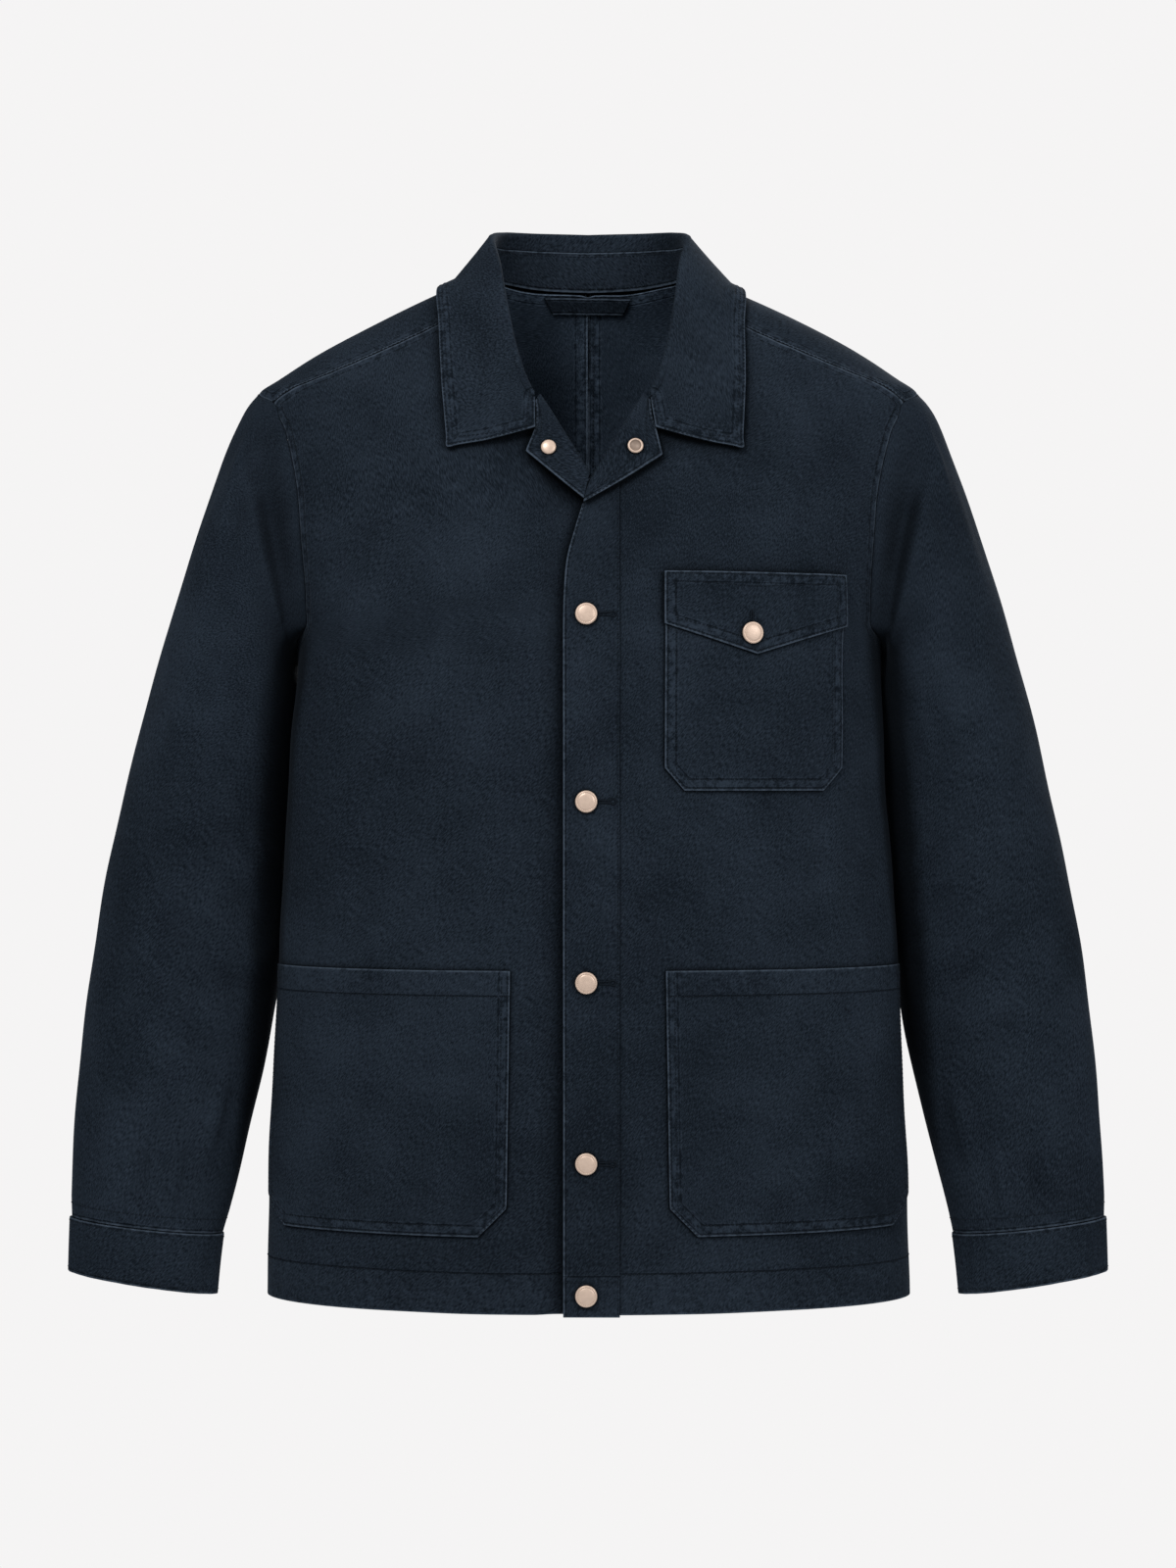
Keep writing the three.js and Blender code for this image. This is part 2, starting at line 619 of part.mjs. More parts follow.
function placket() {
  const bendZ = placketEdgeCurve[0].z;
  const left = chain([
    { until: placketBend, points: stationsOf(upright(placketLeft, placketLowZ, bendZ), 1) },
    { until: 1, points: stationsOf(placketEdgeCurve, 1) },
  ]);
  const right = chain([
    { until: placketBend, points: stationsOf(upright(placketRight, placketLowZ, bendZ), 1) },
    { until: 1, points: stationsOf(upright(placketRight, bendZ, foldOverPlacket.z), 1) },
  ]);
  const straight = (from, to) => chain([{ until: 1, points: [from, to] }]);
  const edges = {
    inner: left, outer: right, bottom: straight(left(0), right(0)), top: straight(left(1), right(1)),
  };
  const up = stations([{ until: placketBend, steps: 14 }, { until: 1, steps: 7 }]);
  const gridAt = (out) => up.map((share) => evenly(3).map((across) => {
    const place = panelPoint(edges, across, share);
    return torsoPoint(place.angle, place.z, out);
  }));
  return wallGeometry(gridAt(placketRaise), gridAt(placketRaise - placketWall), false);
}

// The armhole as a closed line round the sleeve: 0 is the shoulder, 90 the front, 180 the armpit.
// At the shoulder the sleeve's wall lies along the panels', and at the armpit it stands across them.
function armholeCurve(side) {
  const top = { angle: side * 90, z: armholeTop.z };
  const armpit = { angle: side * sideSeam, z: armholeFront[0].z + 1 };
  const half = (rows) => {
    const points = stationsOf(rows, side).reverse();
    points[points.length - 1] = armpit;
    return curveThrough([top, ...points]);
  };
  const front = half(armholeFront);
  const back = half(armholeBack);
  const placeAt = (round) => (round <= 180 ? front(round / 180) : back((360 - round) / 180));
  const middle = torsoPoint(side * 92, (armholeTop.z + armpit.z) / 2, 0);
  return (round) => {
    const place = placeAt(round);
    const outer = torsoPoint(place.angle, place.z, armholeLift);
    const next = placeAt((round + 2) % 360);
    const last = placeAt((round + 358) % 360);
    const along = bareTorso(next.angle, next.z).sub(bareTorso(last.angle, last.z));
    const normal = torsoNormal(place.angle, place.z);
    const away = along.cross(normal).normalize();
    if (away.dot(middle.clone().sub(outer)) < 0) away.negate();
    outer.addScaledVector(away, armholeGap);
    const across = bump(round - 180, armpitSpread);
    const inward = away.multiplyScalar(across).addScaledVector(normal, across - 1).normalize();
    return { outer, inner: outer.clone().addScaledVector(inward, clothWall) };
  };
}

function ringPoint(rows, side, at, round) {
  const read = (column) => follow(rows, 'at', at, column);
  const top = new THREE.Vector3(side * read('topX'), 0, read('topZ'));
  const low = new THREE.Vector3(side * read('lowX'), 0, read('lowZ'));
  const middle = top.clone().add(low).multiplyScalar(0.5);
  const reach = top.clone().sub(low).multiplyScalar(0.5);
  const point = middle.addScaledVector(reach, Math.cos(round * degrees));
  point.y = read('back') - read('depth') * Math.sin(round * degrees);
  return point;
}

function sleeveFoldHeight(at, round) {
  let height = 0;
  for (const fold of sleeveFolds) {
    const turn = Math.abs(((round - fold.round + 540) % 360) - 180);
    height += fold.out * bump(turn, fold.spread) * bump(at - fold.at, fold.length);
  }
  return height;
}

// Rings near the armhole take its shape, and it fades out down the sleeve
function sleeve(side) {
  const armhole = armholeCurve(side);
  const lastRing = sleeveRings[sleeveRings.length - 1].at;
  const places = evenly(sleeveRingCount - 1).map((share) => lastRing * share ** sleeveCrowding);
  const fade = (at) => Math.max(1 - at / armholeReach, 0) ** armholeFade;
  const outer = places.map((at) => {
    const row = [];
    const read = (column) => follow(sleeveRings, 'at', at, column);
    const middle = new THREE.Vector3(
      side * (read('topX') + read('lowX')) / 2, read('back'), (read('topZ') + read('lowZ')) / 2);
    for (let step = 0; step < roundSteps; step += 1) {
      const round = 360 * step / roundSteps;
      const point = ringPoint(sleeveRings, side, at, round);
      const shape = armhole(round).outer.sub(ringPoint(sleeveRings, side, 0, round));
      point.addScaledVector(shape, fade(at));
      const away = point.clone().sub(middle).normalize();
      point.addScaledVector(away, sleeveFoldHeight(at, round));
      const clearance = Math.min(sleeveClearAtArmhole + 2 * at, sleeveClear);
      row.push(at === 0 ? point : liftedClear(point, clearance));
    }
    return row;
  });
  const inner = movedInward(outer, clothWall);
  inner[0] = outer[0].map((_, step) => armhole(360 * step / roundSteps).inner);
  return wallGeometry(outer, inner, true);
}

// The inner side of a tube: each point moves against the surface's normal
function movedInward(outer, wall) {
  const rows = outer.length;
  const columns = outer[0].length;
  return outer.map((row, r) => {
    const centre = new THREE.Vector3();
    row.forEach((point) => centre.addScaledVector(point, 1 / columns));
    return row.map((point, c) => {
      const next = row[(c + 1) % columns];
      const last = row[(c + columns - 1) % columns];
      const below = outer[Math.min(r + 1, rows - 1)][c];
      const above = outer[Math.max(r - 1, 0)][c];
      const normal = next.clone().sub(last).cross(below.clone().sub(above)).normalize();
      const inward = centre.clone().sub(point);
      if (normal.dot(inward) < 0) normal.negate();
      return point.clone().addScaledVector(normal, wall);
    });
  });
}

function cuff(side) {
  const rows = cuffRings.map((ring) => {
    const row = [];
    for (let step = 0; step < roundSteps; step += 1) {
      row.push(ringPoint(cuffRings, side, ring.at, 360 * step / roundSteps));
    }
    return row;
  });
  return wallGeometry(rows, movedInward(rows, cuffWall), true);
}

// One collar section: neck seam, stand, the turn at the roll, and the leaf down to its edge
function collarSection(side, at) {
  const read = (column) => follow(collarRows, 'at', at, column);
  const neckAngle = side * read('neckAngle') + read('neckTurn');
  const neck = bareTorso(neckAngle, read('neckZ'));
  const rollX = side * read('rollX') + read('rollShift');
  const roll = new THREE.Vector3(rollX, read('rollY'), read('rollZ'));
  const edgeX = side * read('edgeX') + read('edgeShift');
  const edge = new THREE.Vector3(edgeX, read('edgeY'), read('edgeZ'));
  const up = roll.clone().sub(neck).normalize();
  const normal = torsoNormal(neckAngle, read('neckZ'));
  const out = normal.addScaledVector(up, -normal.dot(up)).normalize();
  return { neck, roll, edge, up, out };
}

const collarStations = evenly(40).map((share) => mix(-collarEnd, collarEnd, share));
// The stand grows narrow at the front ends, where the collar turns flat
const standNarrows = 6.5;
const standTop = (at) => mix(
  standShare, standEndShare, Math.max(Math.abs(at) - standNarrows, 0) / (collarEnd - standNarrows));

function collarStand() {
  const grid = collarStations.map((at) => {
    const part = collarSection(at < 0 ? -1 : 1, Math.abs(at));
    const low = part.neck.clone().addScaledVector(part.up, standSeat);
    const high = part.neck.clone().lerp(part.roll, standTop(at)).addScaledVector(part.up, -seamGap);
    return [0, 0.5, 1].map((share) => low.clone().lerp(high, share));
  });
  return wallAbout(grid, collarWall);
}

function collarLeaf() {
  const grid = collarStations.map((at) => {
    const part = collarSection(at < 0 ? -1 : 1, Math.abs(at));
    const start = part.neck.clone().lerp(part.roll, standTop(at)).addScaledVector(part.up, seamGap / 2);
    const turnStart = part.roll.clone().addScaledVector(part.up, -collarRoll);
    const pivot = turnStart.clone().addScaledVector(part.out, collarRoll);
    const row = [start];
    for (const turn of [0, 45, 90, 135, 180]) {
      row.push(pivot.clone().addScaledVector(part.out, -collarRoll * Math.cos(turn * degrees))
        .addScaledVector(part.up, collarRoll * Math.sin(turn * degrees)));
    }
    const turned = row[row.length - 1];
    for (const share of [0.16, 0.33, 0.5, 0.67, 0.84, 1]) {
      const lift = mix(leafLiftAtRoll, leafLiftAtEdge, share);
      row.push(liftedClear(turned.clone().lerp(part.edge, share), lift));
    }
    return row;
  });
  return wallAbout(grid, collarWall);
}

// A turned-back front top: it starts at the fold, rolls over it and lies on the front
function lapel(rows) {
  const grid = [];
  for (const at of evenly(lapelSteps).map((share) => share * rows[rows.length - 1].at)) {
    const read = (column) => follow(rows, 'at', at, column);
    const reach = new THREE.Vector2(read('edgeX') - read('foldX'), read('edgeZ') - read('foldZ'));
    const length = reach.length();
    reach.divideScalar(length);
    const row = [];
    const place = (ahead, out) => {
      const x = read('foldX') - reach.x * ahead;
      const z = read('foldZ') - reach.y * ahead;
      row.push(frontPoint(x, z, out));
    };
    for (const turn of [0, 45, 90, 135, 180]) {
      const height = lapelRoll * (1 - Math.cos(turn * degrees));
      place(seamGap + lapelRoll * Math.sin(turn * degrees), height - clothWall / 2);
    }
    for (const share of [0.3, 0.55, 0.8, 1]) {
      const height = 2 * lapelRoll - clothWall / 2 + lapelSpring * share;
      place(seamGap - share * (length + seamGap), height);
    }
    grid.push(row);
  }
  return wallAbout(grid, clothWall);
}

function patchPocket(side, rows, columns, placeAt) {
  const gridAt = (out) => rows.map((row) => evenly(columns).map((share) => {
    const place = placeAt(row, share);
    return torsoPoint(side * place.angle, place.z, out);
  }));
  return wallGeometry(gridAt(pocketLift + clothWall), gridAt(pocketLift), false);
}

function splitRows(rows, counts) {
  const list = [];
  rows.slice(0, -1).forEach((row, index) => {
    for (let step = 0; step < counts[index]; step += 1) {
      const share = step / counts[index];
      const next = rows[index + 1];
      list.push({
        z: mix(row.z, next.z, share),
        inner: mix(row.inner, next.inner, share),
        outer: mix(row.outer, next.outer, share),
      });
    }
  });
  return [...list, rows[rows.length - 1]];
}

function chestPocket() {
  const rows = splitRows(chestPocketRows, [5, 2]);
  return patchPocket(1, rows, 10, (row, share) => (
    { angle: angleAt(mix(row.inner, row.outer, share), row.z, false), z: row.z }));
}

function hipPocket(side) {
  const rows = splitRows(hipPocketRows, [5, 3]);
  return patchPocket(side, rows, 18, (row, share) => {
    const inner = angleAt(row.inner, row.z, false);
    return { angle: mix(inner, row.outer, share), z: row.z };
  });
}

function chestFlap() {
  const lift = pocketLift + clothWall + seamGap;
  const gridAt = (out) => evenly(4).map((down) => evenly(10).map((share) => {
    const low = flapTipZ + Math.abs(share - 0.5) * 2 * (flapSideZ - flapTipZ);
    const z = mix(flapTopZ, low, down);
    return torsoPoint(angleAt(mix(flapInner, flapOuter, share), z, false), z, out);
  }));
  return wallGeometry(gridAt(lift + clothWall), gridAt(lift), false);
}

function hangerLoop() {
  const out = -clothWall - loopLift;
  const gridAt = (level) => evenly(3).map((down) => evenly(8).map((share) => {
    const half = mix(loopTopHalf, loopBottomHalf, down);
    const z = mix(loopTopZ, loopBottomZ, down);
    return torsoPoint(180 - (share - 0.5) * 2 * (180 - angleAt(half, z, true)), z, level);
  }));
  return wallGeometry(gridAt(out), gridAt(out - loopWall), false);
}

// A turned metal piece, standing on the cloth along its normal
function turned(profile, x, z, out) {
  const outline = profile.map(([radius, height]) => new THREE.Vector2(radius, height));
  const geometry = mergeVertices(stripped(new THREE.LatheGeometry(outline, 14)), 1e-4);
  const angle = angleAt(x, z, false);
  const normal = torsoNormal(angle, z);
  const turn = new THREE.Quaternion().setFromUnitVectors(new THREE.Vector3(0, 1, 0), normal);
  geometry.applyQuaternion(turn);
  const seat = torsoPoint(angle, z, out);
  geometry.translate(seat.x, seat.y, seat.z);
  return facedOutward(geometry);
}

function stripped(geometry) {
  geometry.deleteAttribute('normal');
  geometry.deleteAttribute('uv');
  return geometry;
}

const capProfile = [
  [0, 0], [buttonRadius - 0.9, 0], [buttonRadius, 0.8], [buttonRadius, 1.7],
  [buttonRadius - 0.7, 2.4], [buttonRadius - 2, 2.6], [0, 3],
];
const studProfile = [[0, 0], [4.6, 0], [5.2, 0.5], [4.9, 1.2], [3.2, 1.8], [0, 2.1]];
const ringProfile = [
  [0, 0], [4.8, 0], [5.4, 0.6], [5.2, 1.4], [4.2, 1.7], [3.5, 1.1], [3.4, 0.7], [0, 0.7],
];

const jacket = new THREE.Group();
function add(name, geometry, material) {
  const mesh = new THREE.Mesh(geometry, material);
  mesh.name = name;
  jacket.add(mesh);
}

add('front_left', frontLeft(), navy);
add('front_right', frontRight(), navy);
add('back_left', backPanel(1), navyInside);
add('back_right', backPanel(-1), navyInside);
add('placket', placket(), navy);
for (const [name, side] of [['left', 1], ['right', -1]]) {
  add(`sleeve_${name}`, sleeve(side), navy);
  add(`cuff_${name}`, cuff(side), navy);
  add(`hip_pocket_${name}`, hipPocket(side), navy);
}
add('chest_pocket', chestPocket(), navy);
add('chest_flap', chestFlap(), navy);
add('collar_stand', collarStand(), navy);
add('collar_leaf', collarLeaf(), navy);
add('lapel_left', lapel(lapelLeftRows), navy);
add('lapel_right', lapel(lapelRightRows), navy);
add('hanger_loop', hangerLoop(), navyInside);
frontButtons.forEach((z, index) => {
  const seat = placketRaise + seamGap;
  add(`front_button_${index + 1}`, turned(capProfile, frontButtonX, z, seat), copper);
});
const flapSeat = pocketLift + 2 * (clothWall + seamGap);
add('flap_button', turned(capProfile, flapButton.x, flapButton.z, flapSeat), copper);
const lapelSeat = 2 * lapelRoll + lapelSpring + 0.2;
add('lapel_stud_right', turned(studProfile, lapelStud.x, lapelStud.z, lapelSeat), copper);
add('lapel_ring_left', turned(ringProfile, lapelRing.x, lapelRing.z, lapelSeat), copper);

export default jacket;
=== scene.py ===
"""A navy chore jacket, filled out as it is worn, dressed over its solids."""

import math

import bmesh
import bpy
import numpy as np
from mathutils import Matrix, Vector


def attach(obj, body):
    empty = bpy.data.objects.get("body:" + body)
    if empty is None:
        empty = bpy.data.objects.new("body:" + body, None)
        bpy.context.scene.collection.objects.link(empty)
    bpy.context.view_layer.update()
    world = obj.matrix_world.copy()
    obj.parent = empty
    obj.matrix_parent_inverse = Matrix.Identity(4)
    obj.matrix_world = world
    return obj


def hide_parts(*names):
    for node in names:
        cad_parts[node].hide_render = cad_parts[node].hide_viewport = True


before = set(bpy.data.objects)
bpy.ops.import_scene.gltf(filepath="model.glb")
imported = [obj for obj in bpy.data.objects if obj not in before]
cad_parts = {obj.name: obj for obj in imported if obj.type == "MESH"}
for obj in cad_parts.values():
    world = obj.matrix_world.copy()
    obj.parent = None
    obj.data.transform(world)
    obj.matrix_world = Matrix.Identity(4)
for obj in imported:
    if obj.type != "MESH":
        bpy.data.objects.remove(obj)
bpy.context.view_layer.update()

bl_info = {
    "name": "Chore jacket",
    "version": (1, 0, 0),
    "blender": (4, 5, 0),
    "location": "View3D > Sidebar > Jacket",
    "description": "Sews a worn, hollow chore jacket over its solids",
    "category": "Add Mesh",
}

MM = 0.001
ROOT = "root"

# Driving sizes in millimetres, with the side seam in degrees, the same as the solids have
CLOTH_WALL = 1.5
COLLAR_WALL = 1.6
CUFF_WALL = 2.4
SEAM_GAP = 0.3
HEM_Z = -711
SIDE_SEAM = 96
PLACKET_LEFT = -17
PLACKET_RIGHT = 21.8
PLACKET_LOW_Z = HEM_Z - 1.5
PLACKET_RAISE = 0.6
PLACKET_WALL = 2
UNDERLAP_EDGE = 19
LAPEL_ROLL = 2.2
COLLAR_ROLL = 2.6
STAND_SHARE = 0.7
SLEEVE_CLEAR = 1.2
SLEEVE_CLEAR_AT_ARMHOLE = 0.6
ARMHOLE_LIFT = 0.4
LEAF_LIFT_AT_ROLL = 5.4
LEAF_LIFT_AT_EDGE = 4.0
POCKET_LIFT = 0.45
BUTTON_RADIUS = 7.5

# Sizes of the visible cloth alone: its turned hems, how far and where the right front sinks under
# the front strip, and how far the sleeve's first ring lies over the edge of the armhole
HEM_TURN = 28
POCKET_BAND = 17.5
PLACKET_WIDTH = 39
BODY_LENGTH = 710
UNDERLAP_DROP = 5.2
UNDERLAP_START_X = 39
UNDERLAP_RUN = 18
ARMHOLE_GAP = -0.6


def table(names, rows):
    """Rows of numbers with named columns"""
    columns = names.split()
    return [dict(zip(columns, row)) for row in rows]


# Torso rings: half width, depth to the front and to the back, and squareness
TORSO_RINGS = table("z half front back power", [
    (24, 58, 24, 50, 2),
    (17, 70, 36, 55, 2),
    (0, 110, 49, 65, 2),
    (-20, 153, 59, 76, 2),
    (-40, 191.5, 69, 85, 2),
    (-60, 222, 78, 93, 2.05),
    (-70, 235, 82, 96, 2.1),
    (-100, 234.5, 92, 104, 2.2),
    (-150, 225, 105, 113, 2.3),
    (-200, 213, 115, 118, 2.3),
    (-256, 207, 122, 119, 2.2),
    (-322, 210.5, 125, 116, 2.1),
    (-400, 217, 126, 112, 2),
    (-477, 221, 124, 111, 2),
    (-600, 226, 121, 114, 2),
    (HEM_Z, 229, 119, 117, 2),
    (HEM_Z - 20, 229.5, 118.5, 117.5, 2),
])
# Wide folds of the body, the same as the solids have
BODY_FOLDS = table("angle z spread length out", [
    (84, -300, 7, 70, 2.2),
    (-82, -320, 8, 80, 2.6),
    (128, -560, 9, 190, 3.4),
    (158, -600, 8, 150, 2.4),
    (-122, -590, 10, 180, 3),
    (-150, -540, 7, 210, 2.8),
    (142, -170, 12, 60, 2.2),
    (-140, -190, 11, 70, 2.6),
])

# Lines sewn on the torso, as x, z and whether they lie on the back
NECK_LINE = table("x z back", [
    (0, 9, 1), (34, 10, 1), (60, 12.5, 1), (72, 15, 0), (73, -4, 0)])
# The open neck sits a little to the wearer's left: each shift is added towards +X on both sides
NECK_FRONT = table("x z back shift", [
    (73, -4, 0, 0), (68, -27, 0, 0), (58, -55, 0, 1), (46, -75, 0, 2.1), (38.6, -80, 0, 3)])
SHOULDER_LINE = table("x z back", [
    (73, -4, 0), (105, -24.5, 0), (150, -45.5, 0), (223, -79, 0)])
ARMHOLE_FRONT = table("x z back", [
    (206, -256, 0), (200.5, -240, 0), (198.2, -224, 0), (199.6, -193, 0), (202, -158, 0),
    (205.6, -133, 0), (212.6, -103, 0), (217.8, -91, 0), (223, -79, 0)])
ARMHOLE_BACK = table("x z back", [
    (206, -256, 1), (202, -240, 1), (202, -215, 1), (205, -175, 1), (209, -138, 1),
    (218, -100, 1), (229, -74, 1)])
ARMHOLE_TOP_Z = -70
SHOULDER_POINT = {"x": 223, "z": -78.7, "back": 0}
UNDERLAP_BREAK = {"x": -7.5, "z": -150, "back": 0}
UNDERLAP_BEND = {"x": -17, "z": -188, "back": 0}
FOLD_OVER_PLACKET = {"x": PLACKET_RIGHT, "z": -112.2, "back": 0}
PLACKET_EDGE_CURVE = table("x z back", [
    (PLACKET_LEFT, -232, 0), (-16.4, -214, 0), (-14.6, -194, 0), (-10, -176, 0),
    (-4, -156, 0)])

# Sleeve rings: top point, under point, half depth, and how far back the middle lies
SLEEVE_END = 12
CUFF_END = 2
RING_COLUMNS = "at topX topZ lowX lowZ depth back"
SLEEVE_RINGS = table(RING_COLUMNS, [
    (0, 233, -70, 206.5, -256, 53, 4),
    (1, 246, -84, 209.5, -262, 57, 6),
    (2, 258, -109, 209.5, -270, 62, 10),
    (3, 273.5, -150, 207.5, -284, 70, 16),
    (4, 293, -207, 208, -306, 76, 22),
    (5, 310, -263, 209.5, -333, 77, 26),
    (6, 325.3, -320, 212, -368, 73, 27),
    (7, 338.2, -376, 215, -410, 66, 26),
    (8, 349.3, -433, 218.5, -457, 59, 24),
    (9, 358, -489, 225, -505, 52, 20),
    (10, 364.3, -545, 233.6, -556, 45, 14),
    (11, 368, -600, 246.5, -610, 38, 8),
    (12, 368.8, -656, 261, -668, 34, 3),
])
CUFF_RINGS = table(RING_COLUMNS, [
    (0, 370.2, -656.6, 260, -668.8, 35, 3),
    (1, 370.6, -676, 262.4, -690, 32.5, 1),
    (2, 371, -695, 264.4, -711.5, 30, 0),
])
# Wide folds of the sleeves, the same as the solids have
SLEEVE_FOLDS = table("at round length spread out", [
    (2.6, 38, 1.8, 15, 2.6),
    (3.4, 320, 2, 16, 2.4),
    (7.3, 112, 0.42, 44, 2.6),
    (8.4, 128, 0.38, 40, 3),
    (9.3, 104, 0.4, 36, 2.4),
    (8, 238, 0.45, 40, 2.8),
    (9.1, 222, 0.36, 36, 2.2),
    (11.2, 60, 0.7, 12, 1.8),
    (11.1, 300, 0.8, 13, 2),
])

# Collar sections from the middle of the back to the front end.
# A shift is added towards +X on both sides, and a turn is the same in degrees round the neck.
COLLAR_ROWS = table(
    "at neckX neckZ neckBack neckTurn rollX rollY rollZ rollShift edgeX edgeY edgeZ edgeShift", [
        (0, 0, 9.6, 1, 0, 0, 63, 53, 0, 0, 78, -14, 0),
        (1, 34, 10.6, 1, 0, 36, 54, 52.5, 0.6, 47, 72, -13, 0.7),
        (2, 60, 13, 1, 0, 59, 28, 49, 1.3, 88, 42, -6, 1.6),
        (3, 72, 15.4, 0, 0, 67, -4, 41, 1.3, 105, 0, 3, 2.5),
        (4, 73, -4, 0, 0, 62.6, -37, 18, 1.3, 106.4, -50, -27, 2.7),
        (5, 69, -23, 0, 0, 58, -61, -10, 1.9, 104.2, -70, -70, 3.8),
        (5.8, 61.4, -48, 0, 0.4, 53.6, -77, -34.5, 2.3, 102, -89, -109, 4.7),
        (6, 59, -53, 0, 0.5, 52.5, -80, -40, 2.4, 101.8, -90, -116.5, 5),
        (6.2, 57, -57, 0, 0.6, 51.3, -82, -45, 2.5, 95, -91.5, -115.2, 5),
        (7, 49, -71.5, 0, 1.1, 46, -89, -63, 2.7, 68, -98, -109.4, 5),
        (8, 40.2, -79.4, 0, 1.66, 40.8, -88.5, -75.5, 2.7, 41.4, -98, -102.2, 5.1),
    ])
COLLAR_END = 8

# Turned-back front tops: fold and free edge from the collar down to the break
LAPEL_RIGHT_ROWS = table("at foldX foldZ edgeX edgeZ", [
    (0, -34.6, -81.6, -36.4, -84.6),
    (1, -29.6, -89, -35.4, -93.5),
    (2, -24.8, -96.8, -36.6, -104),
    (2.85, -20.6, -103.8, -41.8, -117.8),
    (3, -19.8, -105, -42.5, -120),
    (3.15, -18.2, -107.6, -40.4, -121.9),
    (4, -8.6, -123, -24, -135.6),
    (5, 0.4, -137.8, -2.8, -153),
])
LAPEL_LEFT_ROWS = table("at foldX foldZ edgeX edgeZ", [
    (0, 40.2, -81, 43, -84),
    (1, 35, -89.4, 44, -95.5),
    (2, 29.9, -97.6, 46.8, -105),
    (2.85, 25.5, -104.6, 50.4, -120.2),
    (3, 24.6, -106, 51, -122.6),
    (3.15, 22.8, -109, 48.8, -124.2),
    (4, 11.5, -127.5, 27, -138.2),
    (5, -2.2, -149.6, -3, -155.4),
])
LAPEL_END = 5

# Patch pockets: rows from the top edge down; a hip pocket's outer edge is an angle
CHEST_POCKET_ROWS = table("z inner outer", [
    (-206, 53, 177), (-337, 52, 175.6), (-352.7, 65.5, 162)])
HIP_POCKET_ROWS = table("z inner outer", [
    (-475.5, 53, 86), (-638, 55.5, 86), (-658, 75, 78.5)])
FLAP = {"top": -202.6, "side": -238.5, "tip": -259, "inner": 52, "outer": 178.4}
# Buttons, the stud and the ring as x and z, and the hanger loop
FRONT_BUTTONS = [-232, -360, -483.6, -607.2, -697.6]
FRONT_BUTTON_X = -1.2
FLAP_BUTTON = (111.5, -244.5)
LAPEL_STUD = (-27, -117.6)
LAPEL_RING = (32.4, -117.2)
LOOP = {"top_half": 32, "low_half": 26, "top": 7.6, "low": -3.6, "wall": 1.2, "lift": 1.1}

# Distances of the stitch rows from an edge, and of the shaded dents they make
EDGE_ROW = 1.8
MARGIN_ROW = 7.8
ARMHOLE_ROW = 5.6
PANEL_DENTS = 6.0
LINING_DENTS = 9.0
SHOULDER_ROWS = (1.6, 6.0)
LEAF_ROWS = (1.6, 6.4)
BACK_SEAM_ROW = 1.6
BACK_SEAM_INSIDE_ROW = 3.8
SIDE_SEAM_ROW = 1.6
PLACKET_INNER_ROW = 1.4

# One stitch, and how far it lies over the cloth
STITCH_PITCH = 3.1
STITCH_LENGTH = 2.3
STITCH_HALF_WIDTH = 0.32
STITCH_LIFT = 0.12


# Curves and surfaces, on arrays of places

def column(rows, name):
    return np.array([row[name] for row in rows], float)


def follow(rows, axis, value, name):
    """A smooth curve through the rows of a table, read in one column"""
    keys, values = column(rows, axis), column(rows, name)
    value = np.asarray(value, float)
    if keys[0] > keys[-1]:
        keys, value = -keys, -value
    value = np.clip(value, keys[0], keys[-1])
    last = len(keys) - 1
    low = np.clip(np.searchsorted(keys, value, side="right") - 1, 0, last - 1)
    index = np.arange(last + 1)
    before, after = np.maximum(index - 1, 0), np.minimum(index + 1, last)
    slopes = (values[after] - values[before]) / (keys[after] - keys[before])
    span = keys[low + 1] - keys[low]
    share = (value - keys[low]) / span
    square, cube = share ** 2, share ** 3
    return ((2 * cube - 3 * square + 1) * values[low]
            + (cube - 2 * square + share) * span * slopes[low]
            + (3 * square - 2 * cube) * values[low + 1]
            + (cube - square) * span * slopes[low + 1])


def bump(distance, reach):
    return (1 - np.minimum(np.abs(distance) / reach, 1) ** 2) ** 2


def stack(*parts):
    return np.stack(np.broadcast_arrays(*parts), axis=-1)


def unit(vectors):
    return vectors / np.maximum(np.linalg.norm(vectors, axis=-1, keepdims=True), 1e-9)


def mix(start, end, share):
    return start + (end - start) * share


def torso_ring(z):
    return {name: follow(TORSO_RINGS, "z", z, name) for name in ("half", "front", "back", "power")}


def bare_torso(angle, z):
    """Angle 0 is the middle of the front, 90 the wearer's left side, 180 the back"""
    read = torso_ring(z)
    sine, cosine = np.sin(np.radians(angle)), np.cos(np.radians(angle))
    depth = np.where(cosine > 0, read["front"], read["back"])
    across = np.abs(sine / read["half"]) ** read["power"]
    along = np.abs(cosine / depth) ** read["power"]
    radius = (across + along) ** (-1 / read["power"])
    return stack(radius * sine, -radius * cosine, z)


# Half a step, in degrees or millimetres, for reading how a surface runs
PROBE = 0.5


def torso_ways(angle, z):
    """How far a step round and a step up go"""
    around = bare_torso(angle + PROBE, z) - bare_torso(angle - PROBE, z)
    up = bare_torso(angle, z + PROBE) - bare_torso(angle, z - PROBE)
    return around, up


def torso_normal(angle, z):
    return unit(np.cross(*torso_ways(angle, z)))


# Slow waves of the washed cloth: how fast each runs round and up, where it starts, and its height.
# The body's are read at this many millimetres to a degree.
BODY_REACH = 2.6
CLOTH_WAVES = table("round up turn out", [
    (0.041, 0.011, 0.4, 0.55),
    (0.023, -0.029, 1.9, 0.5),
    (0.067, 0.038, 3.1, 0.28),
    (0.094, -0.052, 5.2, 0.2),
    (0.031, 0.083, 2.3, 0.22),
])


